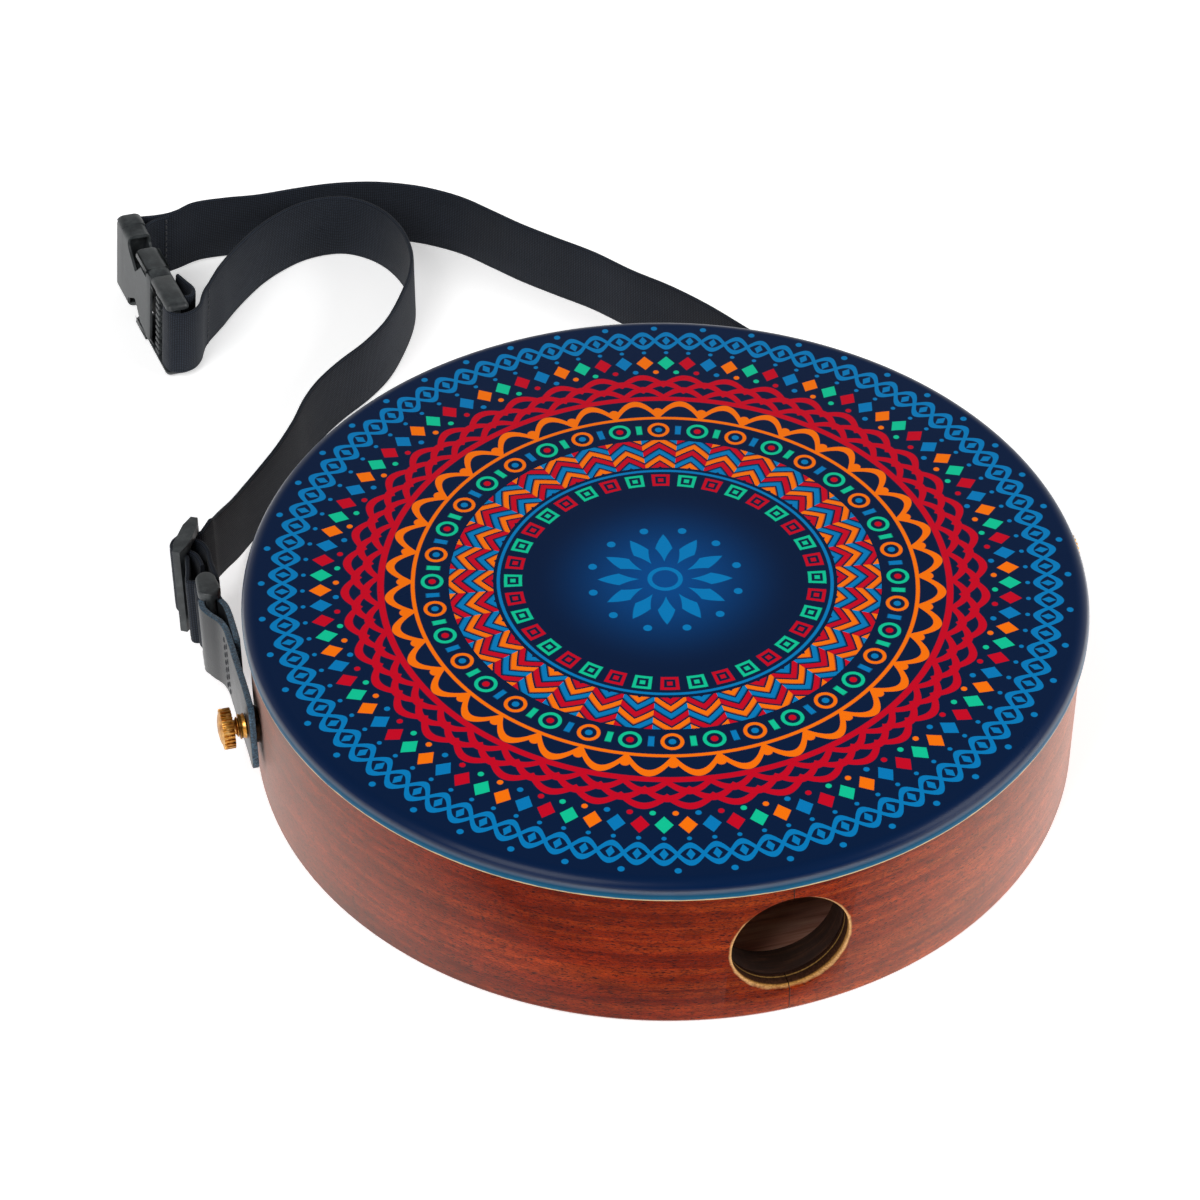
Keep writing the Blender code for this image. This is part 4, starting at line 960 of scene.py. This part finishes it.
def lay_strap(label, route, stretches):
    """Lay one half of the strap in stretches; one with a single body goes with it, and the rest stay
    where they are laid.
    """
    bands, paths = [], []
    for part, first, last, from_body, to_body, start, end in stretches:
        band, path = make_band(f"{label}_{part}", route, first, last)
        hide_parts(label)
        if to_body is None:
            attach(band, from_body)
        else:
            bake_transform(band)
        print(band.name, "is", round(path_length(path), 3), "m long")
        bands.append(band)
        paths.append(path)
    return bands, paths[0][::-1]


def at_adjuster(along, away):
    """A place given in millimetres in the adjuster's frame."""
    return adjuster_frame @ Vector((along * mm, away * mm, 0))


# Each stretch: its name, first and last station, two bodies, and where the bend starts and ends.
# The front run stays where it is laid, and the back run, by the socket, goes with the drum.
front_bands, front_path = lay_strap("front_strap", front_route, (
    ("run", 0, front_near, "drum", "buckle_plug", (-0.0916, 0.1316, 0.0125), (-0.0975, 0.2035, 0.0125)),
    ("rise", front_near, front_arrive, "drum", "left_tab",
     station_place(front_route, front_near), station_place(front_route, front_arrive - 0.2)),
    ("in", front_arrive, front_middle, "left_tab", "adjuster",
     at_adjuster(-13.5, -3.5), at_adjuster(-7.5, -3.5)),
    ("over", front_middle, front_ring_start, "adjuster", "left_tab",
     at_adjuster(8.0, -3.5), at_adjuster(13.6, -3.5)),
    ("loop", front_ring_start, front_ring_end, "left_tab", "left_ring",
     station_place(front_route, front_ring_start), left_ring_frame.translation),
    ("tail", front_ring_end, front_end, "left_tab", "adjuster",
     at_adjuster(14.1, -15.2), at_adjuster(6.0, -10.0)),
))
back_bands, back_path = lay_strap("back_strap", back_route, (
    ("run", 0, back_near, "drum", None, None, None),
    ("rise", back_near, back_arrive, "drum", "right_tab",
     station_place(back_route, back_near), station_place(back_route, back_arrive - 0.6)),
    ("loop", back_arrive, back_end, "right_tab", "right_ring",
     station_place(back_route, back_arrive), right_ring_frame.translation),
))

# %% [markdown]
# ## Thumb screws
#
# Each strap anchor is a brass thumb screw. Its knob has straight knurls, a low dome, a short
# neck and a flared foot, and the shank runs on into the drum. On a lathe it would be turned and
# then knurled. Here a cylinder is the knob: every second pair of its side faces is pushed out
# for a ridge, its top is drawn in over and over for the dome, and its underside is drawn in and
# pulled down for the neck and the shank. The heights are distances from the drum's middle.

# %% Model the thumb screw
knob_start, knob_end = 133.4, 136.8
knurl_count, knurl_depth = 26, 0.7
neck_inset, neck_length, flare_length, flare = 3.25, 0.8, 0.4, 1.35
foot_length, foot_inset, shank_length = 0.3, 0.9, 21.8
knob = add_rod("left_knob", 5.5, knob_start, knob_end, sides=4 * knurl_count)
edit(knob)
choose(knob, "FACE", lambda m, f: abs(f.normal.z) < 0.1
       and int((math.atan2(m.y, m.x) + math.pi) / (2 * math.pi) * 4 * knurl_count) % 4 < 2)
bpy.ops.mesh.extrude_region_shrink_fatten(TRANSFORM_OT_shrink_fatten={"value": knurl_depth * mm})
choose(knob, "FACE", lambda m, f: m.z > knob_end - 0.01 and m.xy.length < 1)
for draw_in, rise in ((0.35, 0.1), (0.75, 0.35), (1.1, 0.3), (1.3, 0.2), (1.2, 0.1)):
    bpy.ops.mesh.inset(thickness=draw_in * mm, depth=rise * mm)
choose(knob, "FACE", lambda m, f: m.z < knob_start + 0.01 and m.xy.length < 1)
bpy.ops.mesh.inset(thickness=neck_inset * mm, depth=0.0)
bpy.ops.mesh.extrude_region_move(TRANSFORM_OT_translate={"value": (0, 0, -neck_length * mm)})
bpy.ops.mesh.extrude_region_move(TRANSFORM_OT_translate={"value": (0, 0, -flare_length * mm)})
bpy.ops.transform.resize(value=(flare, flare, 1), center_override=(0, 0, 0))
bpy.ops.mesh.extrude_region_move(TRANSFORM_OT_translate={"value": (0, 0, -foot_length * mm)})
bpy.ops.mesh.inset(thickness=foot_inset * mm, depth=0.0)
bpy.ops.mesh.extrude_region_move(TRANSFORM_OT_translate={"value": (0, 0, -shank_length * mm)})
soften(knob, width=0.1, segments=2, angle=30)
print("knob is", round(2000 * max(v.co.xy.length for v in knob.data.vertices), 2), "mm across")

# %% [markdown]
# The collar under it is a plain turned ring with a slight waist. One bisect gives it a line of
# points round its middle, and those are scaled in.

# %% Model the collar
collar_radius, collar_bore, collar_low, collar_high, collar_waist = 4.0, 2.75, 129.6, 131.6, 130.7
collar = add_rod("left_collar_ring", collar_radius, collar_low, collar_high, sides=64)
edit(collar)
score((0, 0, collar_waist), (0, 0, 1))
choose(collar, "VERT", lambda m, v: abs(m.z - collar_waist) < 0.2)
bpy.ops.transform.resize(value=(0.88, 0.88, 1), center_override=(0, 0, 0))
soften(collar, width=0.3, segments=3, angle=40)
combine(collar, add_rod("collar_bore", collar_bore, collar_low - 1.6, collar_high + 2.4, sides=48))
print("the collar has", len(collar.data.polygons), "faces")

# %% [markdown]
# Both sides have the same screw and collar, so the right ones are copies. Each is moved to its
# anchor there and gets its finish.

# %% Put a screw and a collar on each side
def screw_frame(side):
    """An anchor's frame with its Z axis along the screw."""
    return anchor_frame(side, 0.0) @ Matrix.Rotation(math.radians(90), 4, "Y")


for side, label in ((1, "right"), (-1, "left")):
    for model, part_name, node in ((knob, "knob", "thumb_screw"), (collar, "collar_ring", "collar")):
        piece = copy_of(model, f"{label}_{part_name}") if side > 0 else model
        seat(piece, screw_frame(side), [turned_brass])
        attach(piece, f"{label}_screw")
        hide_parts(f"{label}_{node}")

# %% [markdown]
# ## The hoop
#
# The hoop is one strip of ply bent round until its ends meet at the front, with the sound hole
# drilled through the meeting. A cylinder with 240 sides is round enough for its shading. Its foot
# is rounded with a bevel, and its inside, the hole with its chamfer, the thin gap between the
# ends and the holes for the inserts are cut away. The chamfer is the flared end of the cutter.

# %% Model the hoop
hoop_radius, hoop_wall, hoop_height, seam = 125.5, 5.5, 51.4, 0.3
hole_radius, hole_chamfer = 17.5, 1.3
# A micrometre under its drawn height, so that the cut doesn't run exactly through points.
hole_place = 27.499
hoop = add_rod("hoop", hoop_radius, 0, hoop_height, sides=240)
edit(hoop)
round_edges(hoop, 1.2, 4, lambda m, e: m.z < 0.1 and m.xy.length > hoop_radius - 1)
combine(hoop, add_rod("hoop_inside", hoop_radius - hoop_wall, -5, 60, sides=240))
cutter = add_rod("sound_hole", hole_radius, 100, hoop_radius + hole_chamfer, sides=96)
edit(cutter)
score((0, 0, hoop_radius - hole_chamfer), (0, 0, 1))
choose(cutter, "VERT", lambda m, v: m.z > hoop_radius + 1)
mouth = (hole_radius + 2 * hole_chamfer) / hole_radius
bpy.ops.transform.resize(value=(mouth, mouth, 1), center_override=(0, 0, 0))
begin()
turn_forward = Matrix.Rotation(math.radians(90), 4, "X")
cutter.data.transform(Matrix.Translation((0, 0, hole_place * mm)) @ turn_forward)
combine(hoop, cutter)
seam_low, seam_high = (-seam / 2, -hoop_radius - 3, -1), (seam / 2, -hoop_radius + hoop_wall + 3, 52)
combine(hoop, add_block("hoop_ends", seam_low, seam_high))
for side in (1, -1):
    cutter = add_rod("insert_hole", 4.3, 110, 135)
    cutter.data.transform(screw_frame(side))
    combine(hoop, cutter)
seat(hoop, Matrix.Identity(4), [veneer], smooth_angle=30)
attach(hoop, "drum")
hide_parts("shell")

# %% [markdown]
# ## Thread
#
# Sewing shows as a row of short beads of thread, half sunk in what they hold. One bead is a
# small ball drawn out along the row, and an Array modifier repeats it.

# %% Sew a row of stitches
def sew(name, place, along, out, count, pitch, body, length=2.0, width=0.7):
    """A row of stitches centred on a place; along is the row's direction and out faces the eye."""
    begin()
    bpy.ops.mesh.primitive_uv_sphere_add(segments=8, ring_count=6, radius=1.0)
    row = bpy.context.object
    row.name = name
    row.scale = (length / 2 * mm, width / 2 * mm, width / 2 * mm)
    bpy.ops.object.transform_apply(location=True, rotation=True, scale=True)
    modify(row, "ARRAY", count=count, use_relative_offset=False, use_constant_offset=True,
           constant_offset_displace=(pitch * mm, 0, 0))
    row.data.transform(Matrix.Translation((-(count - 1) / 2 * pitch * mm, 0, 0)))
    along, out = Vector(along).normalized(), Vector(out).normalized()
    seat(row, frame_from(along, out.cross(along), out, place), [sewing_thread],
         smooth_angle=80)
    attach(row, body)
    return row


def sew_across(name, route, number, side, body):
    """Stitches across the strap at a station of its route, on one side of it."""
    at = min(range(len(route)), key=lambda i: abs(route[i][3] - number))
    place, up = route[at][:2]
    out = up.cross(route[at + 1][0] - route[at - 1][0]).normalized() * side
    return sew(name, place + out * webbing_thickness / 2, up, out, count=10, pitch=2.4, body=body,
               length=1.9, width=0.8)


# %% [markdown]
# ## Leather tabs
#
# A tab is one strip of thick leather. It hangs on the thumb screw, wraps the ring's near bar
# and comes back inside itself, where two rows of stitches hold it. A plane stands at the screw
# as the strip's first few millimetres, its two corners are rounded, and its far edge is then
# extruded from place to place along the route. Solidify gives the thickness and puts the suede
# material on the cut edge, and a small bevel burnishes the arris.

# %% Model a tab
leather_thickness, tab_width = 2.0, 25.0
tab_points = {
    -1: ([(0, -7.5), (0, -2.5), (0, 2), (0.1, 8), (0.3, 16), (0.4, 24), (0.6, 30.5), (1.7, 35),
          (3.9, 38.6), (5.5, 42)],
         [(-1.2, 42.0), (-1.6, 37.4), (-1.7, 31.5), (-1.7, 25.0)]),
    1: ([(0, -7.5), (0, -2.5), (0, 2), (-0.1, 8), (-0.3, 15), (-0.7, 23), (-1.2, 31), (-1.7, 39)],
        [(-6.5, 41.2), (-4.6, 37.0), (-3.6, 32.0), (-3.1, 27.0)]),
}

# Where the two seams are, as (outward, backward) from the screw's leather.
tab_seams = {-1: ((0.45, 26.6), (0.6, 30.0)), 1: ((-0.95, 28.4), (-1.2, 31.6))}


def tab_line(side, bar):
    """The strip's middle line in millimetres, as (outward, backward) from the screw's leather."""
    outside, inside = tab_points[side]
    lift = (bar[0] - leather_middle) / mm
    # The fold goes round the ring's bar, 1.6 mm in radius, with 0.3 mm of air.
    fold = arc_points(1.6 + 0.3 + leather_thickness / 2, start=0, end=180, count=9)
    turn = [(lift + a, bar[1] / mm + b) for a, b in fold]
    stations = [(Vector((a, b, 0)), Vector((0, 0, 1))) for a, b in outside + turn + inside]
    return [s[0] for s in smooth_route(stations, 1.2)]


def model_tab(name, side, bar):
    """One strip of leather, folded round the ring's bar, with the screw's hole in it."""
    line = [p + Vector((leather_middle / mm, 0, 0)) for p in tab_line(side, bar)]
    begin()
    bpy.ops.mesh.primitive_plane_add(size=1.0, rotation=(0, math.radians(90), 0))
    tab = bpy.context.object
    tab.name = name
    bpy.ops.object.transform_apply(location=False, rotation=True, scale=False)
    first, turned = line[0], line[4]
    tab.scale = (1.0, (turned.y - first.y) * mm, tab_width * mm)
    tab.location = Vector((first.x, (first.y + turned.y) / 2, 0)) * mm
    bpy.ops.object.transform_apply(location=True, rotation=True, scale=True)
    tab.data.materials.append(waxed_leather)
    tab.data.materials.append(suede_edge)
    edit(tab)
    choose(tab, "VERT", lambda m, v: m.y < first.y + 0.01)
    bpy.ops.mesh.bevel(offset=3.0 * mm, segments=5, affect="VERTICES")
    choose(tab, "EDGE", lambda m, e: m.y > turned.y - 0.01)
    for before, after in zip(line[4:], line[5:]):
        bpy.ops.mesh.extrude_region_move(TRANSFORM_OT_translate={"value": (after - before) * mm})
    modify(tab, "SOLIDIFY", thickness=leather_thickness * mm, offset=0.0, use_even_offset=True,
           material_offset_rim=1)
    soften(tab, width=0.3, segments=2, angle=50)
    hole = add_rod("screw_hole", 2.8, 100, 140)
    hole.data.transform(Matrix.Rotation(math.radians(90), 4, "Y"))
    combine(tab, hole)
    return tab


for side, label, group, bar in ((-1, "left", left_frame, left_bar),
                                (1, "right", right_frame, right_bar)):
    tab = model_tab(f"{label}_leather_tab", side, bar)
    seat(tab, group, [waxed_leather])
    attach(tab, f"{label}_tab")
    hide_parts(f"{label}_tab")
    print("before it is folded it is", round(path_length(tab_line(side, bar))), "mm long")
    # The seams cross the tab where the inner layer lies under the outer one.
    outward, upward = group.to_3x3() @ Vector((1, 0, 0)), group.to_3x3() @ Vector((0, 0, 1))
    for number, (lift, back) in enumerate(tab_seams[side]):
        face = leather_middle + (lift + leather_thickness / 2 - 0.05) * mm
        place = group @ Vector((face, back * mm, 0))
        sew(f"{label}_tab_seam_{number + 1}", place, upward, outward, count=7, pitch=3.0,
            body=f"{label}_tab", length=2.4, width=0.8)

# %% [markdown]
# ## Rings
#
# A moulded ring joins each tab to the webbing: two upright bars, and at each end a rounded cap
# that slopes down towards the strap. A short cylinder is pulled apart into the cap's long
# round outline, its far end is lowered and narrowed, and the edges are rounded well. The lower
# cap is the upper one mirrored, so its faces are turned out again.

# %% Model a ring
def model_ring(name):
    """Two bars with a sloping cap at each end, from the near bar's middle."""
    bar_radius, spacing, cap_radius, cap_low, cap_high = 1.6, ring_bar_spacing, 3.6, 13.0, 16.5
    end_slope, end_narrow = 1.0, 0.88
    inset = cap_radius - bar_radius
    cap = add_rod(name, cap_radius, cap_low, cap_high, sides=48, place=(0, inset))
    edit(cap)
    choose(cap, "VERT", lambda m, v: m.y > inset - 0.01)
    bpy.ops.transform.translate(value=(0, (spacing - 2 * inset) * mm, 0))
    choose(cap, "VERT", lambda m, v: m.y > spacing / 2 and m.z > cap_high - 0.1)
    bpy.ops.transform.translate(value=(0, 0, -end_slope * mm))
    choose(cap, "VERT", lambda m, v: m.y > spacing / 2)
    bpy.ops.transform.resize(value=(end_narrow, 1, 1), center_override=(0, 0, 0))
    soften(cap, width=0.9, segments=4, angle=50)
    foot = copy_of(cap, "ring_foot")
    turn_over(foot)
    combine(cap, foot, "UNION")
    for place in (0.0, spacing):
        bar = add_rod("ring_bar", bar_radius, -cap_high + 2, cap_high - 2, sides=28, place=(0, place))
        combine(cap, bar, "UNION")
    return cap


def ring_place(ring):
    """A ring's frame from its near bar, where the tab holds it."""
    return ring @ Matrix.Translation((0, -ring_bar_spacing * mm, 0))


for label, ring in (("left", left_ring_frame), ("right", right_ring_frame)):
    piece = model_ring(f"{label}_strap_ring")
    seat(piece, ring_place(ring), [moulded_plastic])
    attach(piece, f"{label}_ring")
    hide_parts(f"{label}_ring")

# %% [markdown]
# ## Slide adjuster
#
# The adjuster is a flat frame with a bar across its middle, which the webbing passes over, and
# its two long rails swell towards the middle. A block is cut by four planes so that the rails
# have points to pull, the slot is sawn through, and a round bar is joined in.

# %% Model the adjuster
half_size, rail_place, bar_place, rail_swell, edge_thin = (9.0, 1.4, 16.0), 13.0, 4.5, 1.65, 0.82
slider = add_block("slide_adjuster", [-v for v in half_size], half_size)
edit(slider)
for side in (1, -1):
    score((bar_place * side, 0, 0), (1, 0, 0))
for side in (1, -1):
    score((0, 0, rail_place * side), (0, 0, 1))
choose(slider, "VERT", lambda m, v: abs(m.z) > rail_place - 0.1 and abs(m.x) < bar_place + 0.1)
bpy.ops.transform.resize(value=(1, rail_swell, 1), center_override=(0, 0, 0))
choose(slider, "VERT", lambda m, v: abs(m.x) > half_size[0] - 0.1)
bpy.ops.transform.resize(value=(1, edge_thin, 1), center_override=(0, 0, 0))
combine(slider, add_block("adjuster_slot", (-6.8, -5, -12.9), (6.8, 5, 12.9)))
soften(slider, width=0.9, segments=4, angle=50)
combine(slider, add_rod("adjuster_bar", 1.5, -14, 14, sides=24), "UNION")
seat(slider, adjuster_frame, [moulded_plastic])
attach(slider, "adjuster")
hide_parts("adjuster")

# %% [markdown]
# ## Side release buckle: the socket
#
# The socket is a flat moulded box with rounded long edges. The strap's bar is at its open back,
# and each narrow side has a window that runs out in a slanted notch, where the prong's pad
# springs into place. The box is a block with its four long edges bevelled; the bay, the hollow
# and the windows are cut with blocks, of which the window's is drawn down to a point for its notch.
# Places are along, across and up from the back of the socket.

# %% Model the socket
half_height, half_thick = 14.8, 4.2
window_start, window_end, window_low = 12.2, 32.6, 11.6
notch_place, notch_low, notch_end = 20.4, 5.6, 26.4
socket_end, lip_length = 37.0, 6.0
socket = add_block("buckle_socket_body", (0, -half_thick, -half_height),
                   (socket_end, half_thick, half_height))
edit(socket)
round_edges(socket, 2.5, 6, lambda m, e: runs_along(e, 0))
score((lip_length, 0, 0), (1, 0, 0))
choose(socket, "FACE", lambda m, f: m.x < lip_length and f.normal.z > 0.6)
bpy.ops.mesh.extrude_region_shrink_fatten(TRANSFORM_OT_shrink_fatten={"value": 0.5 * mm})
soften(socket, width=0.35, segments=2, angle=50)
combine(socket, add_block("strap_bay", (-3, -2.9, -12.8), (7.6, 9, 12.8)))
combine(socket, add_block("strap_bar", (0.9, -0.8, -13.8), (3.9, 1.4, 13.8)), "UNION")
combine(socket, add_block("hollow", (9.2, -3.3, -13.5), (45, 3.3, 13.5)))
for up in (1, -1):
    window = add_block("window", (window_start, -9, window_low), (window_end, 9, 16.0))
    edit(window)
    for place in (notch_place, notch_end):
        score((place, 0, 0), (1, 0, 0))
    choose(window, "VERT", lambda m, v: abs(m.x - notch_place) < 0.1 and m.z < window_low + 0.1)
    bpy.ops.transform.translate(value=(0, 0, (notch_low - window_low) * mm))
    choose(window, "VERT", lambda m, v: m.x < window_start + 0.1 and m.z < window_low + 0.1)
    bpy.ops.transform.translate(value=(0, 0, -0.8 * mm))
    round_edges(window, 0.9, 4,
                lambda m, e: runs_along(e, 1) and m.x < notch_end - 0.1 and m.z < window_low + 2)
    begin()
    if up < 0:
        turn_over(window)
    combine(socket, window)
seat(socket, buckle_frame, [moulded_plastic], smooth_angle=30)
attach(socket, "drum")
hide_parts("buckle_socket")

# %% [markdown]
# The pads are the two rounded ends of the prongs that the fingers press. Each lies flush with
# the socket's sides. The pad's nose slants like the notch, and all its outer edges are rounded
# in one bevel, with the springy arm behind it inside the socket.

# %% Model the prongs
pad_start, pad_split, pad_top, pad_thick = 19.0, 13.0, half_height - 0.05, 4.15
nose_slant, nose_lean, nose_round, rim_round = 7.0, 1.6, 1.8, 2.3
for up, label in ((-1, "lower"), (1, "upper")):
    pad = add_block(f"{label}_prong_pad", (pad_start, -pad_thick, window_low + 0.2),
                    (window_end - 0.2, pad_thick, pad_top))
    edit(pad)
    score((0, 0, pad_split), (0, 0, 1))
    choose(pad, "VERT", lambda m, v: m.x < pad_start + 0.1 and m.z < window_low + 0.3)
    bpy.ops.transform.translate(value=(nose_slant * mm, 0, 0))
    choose(pad, "VERT", lambda m, v: m.x < pad_start + 0.1 and m.z < pad_split + 0.5)
    bpy.ops.transform.translate(value=(nose_lean * mm, 0, 0))
    round_edges(pad, nose_round, 5, lambda m, e: runs_along(e, 1) and m.x < 22 and m.z > 14)
    round_edges(pad, rim_round, 5,
                lambda m, e: abs(m.y) > pad_thick - 0.15 and m.z > window_low + 0.6
                and m.x < window_end - 0.4)
    # The two bevels meet past the flat at the nose, so those points are pressed back flush.
    choose(pad, "VERT", lambda m, v: m.z > pad_top + 0.01)
    bpy.ops.transform.resize(value=(1, 1, 0), center_override=(0, 0, pad_top * mm))
    combine(pad, add_block("prong_arm", (22.0, -2.0, 6.4), (37.2, 2.0, window_low + 1.0)), "UNION")
    begin()
    if up < 0:
        turn_over(pad)
    seat(pad, buckle_frame, [moulded_plastic], smooth_angle=30)
    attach(pad, f"{label}_prong")
    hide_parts(f"{label}_prong")

# %% [markdown]
# ## Side release buckle: the plug
#
# The plug carries the prongs. Outside the socket it is an open frame: a shoulder that meets the
# socket's mouth, two rounded rails, a ribbed bar for the webbing's grip, and a round bar at the
# end that the webbing loops over. The ribs are one small softened block, repeated by an Array.

# %% Model the plug
plug_start, plug_end, plug_thick, rail_inside, bar_reach = 37.3, 55.3, 4.0, 12.8, 13.6
rib_count, rib_pitch, end_bar_radius, end_bar_inset = 11, 2.4, 1.8, 3.9
plug = add_block("buckle_plug_frame", (plug_start, -plug_thick, -half_height),
                 (plug_end, plug_thick, half_height))
edit(plug)
round_edges(plug, 1.9, 5, lambda m, e: runs_along(e, 1) and m.x > plug_end - 0.1)
round_edges(plug, 1.8, 5,
            lambda m, e: abs(m.y) > plug_thick - 0.1 and abs(m.z) > rail_inside - 0.3
            and m.x < plug_end - 0.01)
combine(plug,
        add_block("plug_opening", (plug_start + 2.4, -9, -rail_inside), (plug_end + 5, 9, rail_inside)))
for face_low, face_high in ((-9, -1.5), (1.5, 9)):
    low, high = (plug_start - 1, face_low, -rail_inside), (plug_start + 3, face_high, rail_inside)
    combine(plug, add_block("shoulder_recess", low, high))
soften(plug, width=0.35, segments=2, angle=60)
grip = add_block("grip_bar", (41.6, -2.7, -bar_reach), (45.2, 0.9, bar_reach))
rib = add_block("grip_rib", (41.5, -3.7, -12.75), (45.3, -2.3, -11.25))
soften(rib, width=0.4, segments=2, angle=50)
modify(rib, "ARRAY", count=rib_count, use_relative_offset=False, use_constant_offset=True,
       constant_offset_displace=(0, 0, rib_pitch * mm))
combine(grip, rib, "UNION")
combine(plug, grip, "UNION")
end_bar = add_rod("end_bar", end_bar_radius, -bar_reach, bar_reach, sides=28,
                  place=(plug_end - end_bar_inset, 0))
combine(plug, end_bar, "UNION")
combine(plug, add_block("tongue", (13.5, -1.6, -3.5), (plug_start + 1, 1.6, 3.5)), "UNION")
seat(plug, buckle_frame, [moulded_plastic], smooth_angle=30)
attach(plug, "buckle_plug")
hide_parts("buckle_plug")

# %% [markdown]
# ## Seams in the strap, and its length
#
# At each half of the buckle the webbing is folded back and sewn to itself. Thread of the
# strap's colour crosses it in one row at each fold, and the length of each half is printed.

front_seam_station, back_seam_station = len(plug_loop) - 1.6, 0.8
front_fold = sew_across("front_strap_seam", front_route, front_seam_station, -1, "buckle_plug")
back_fold = sew_across("back_strap_seam", back_route, back_seam_station, 1, "drum")
print("the two cords are", round(path_length(front_path), 3), "and", round(path_length(back_path), 3),
      "m")

# %% [markdown]
# ## The solids that stay
#
# Everything inside the hoop has the right shape already, so it only gets finishes.

# %% Give the CAD nodes their finishes
finishes = {
    "back_panel": bare_wood, "head_lining": bare_wood, "back_lining": bare_wood,
    "hole_block": end_grain_in_painted_shade, "left_anchor_block": bare_wood, "right_anchor_block": bare_wood,
    "snare_rail": bare_wood, "left_insert": brass_in_painted_shade, "right_insert": brass_in_painted_shade,
    "snare_wires": drawn_steel, "snare_screw_1": drawn_steel, "snare_screw_2": drawn_steel,
}
for name, material in finishes.items():
    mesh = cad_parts[name].data
    mesh.materials.clear()
    mesh.materials.append(material)
print(len(finishes), "solids keep their own mesh")

# %% [markdown]
# ## Floor, world and lamps
#
# The photograph is cut out on white. The floor is white paint with a little glow of its own, so
# it comes out white and still keeps the drum's soft shadow. The world is white near the
# horizon and dims overhead, as a studio does under its black ceiling, so that the satin head
# stays dark. Two softboxes and a low strip of light stand in front.

# %% Floor
white = linear("#FFFFFF")
begin()
bpy.ops.mesh.primitive_plane_add(size=8.0, location=(0, 0, -0.0002))
floor = bpy.context.object
floor.name = "floor"
floor_paint, tree, shader = new_material("matt white floor", Base_Color=white, Roughness=0.9,
                                          Specular_IOR_Level=0.0)
glow = add(tree, "Emission", Color=white, Strength=0.45)
both = add(tree, "AddShader", shader, glow)
set_inputs(tree.nodes["Material Output"], Surface=both)
floor.data.materials.append(floor_paint)

# %% [markdown]
# The world's light depends on height alone, but for a dark patch behind the camera. The lamps
# are area lights of the size of real softboxes, aimed at the drum's middle.

# %% World and softboxes
world = bpy.data.worlds.new("studio")
world.use_nodes = True
bpy.context.scene.world = world
tree = world.node_tree
background = tree.nodes["Background"]
sky_place = add(tree, "TexCoord").outputs["Generated"]
sky_parts = add(tree, "SeparateXYZ", sky_place)
level = add(tree, "MapRange", sky_parts.outputs["Z"], 0.1, 0.6, 1.0, 0.24,
            interpolation_type="SMOOTHSTEP")
# The studio is dark behind the camera, so the hoop's front does not reflect a white wall.
flagged = add(tree, "MapRange", sky_parts.outputs["Y"], -0.95, -0.1, 0.3, 1.0,
              interpolation_type="SMOOTHSTEP")
strength = add(tree, "Math MULTIPLY", level, flagged)
set_inputs(background, Color=white, Strength=strength)


def add_softbox(name, place, target, size, power):
    """An area lamp at a place, turned to face its target."""
    light = bpy.data.lights.new(name, "AREA")
    light.shape = "RECTANGLE"
    light.size, light.size_y = size
    light.energy = power
    lamp = bpy.data.objects.new(name, light)
    lamp.location = place
    lamp.rotation_euler = (Vector(target) - Vector(place)).to_track_quat("-Z", "Y").to_euler()
    bpy.context.scene.collection.objects.link(lamp)
    print(name, "gives", power, "W")


add_softbox("key softbox", (-0.9, -0.7, 1.2), (0, 0, 0), (0.8, 0.8), 15.0)
add_softbox("fill softbox", (1.2, -0.6, 0.8), (0, 0, 0), (0.8, 0.8), 14.0)
# A long strip just above the table draws the line of light along the head's rounded edge.
add_softbox("strip softbox", (-0.2, -1.6, 0.1), (0, 0, 0.05), (2.6, 0.1), 4.0)
bpy.context.scene.view_settings.view_transform = "Standard"
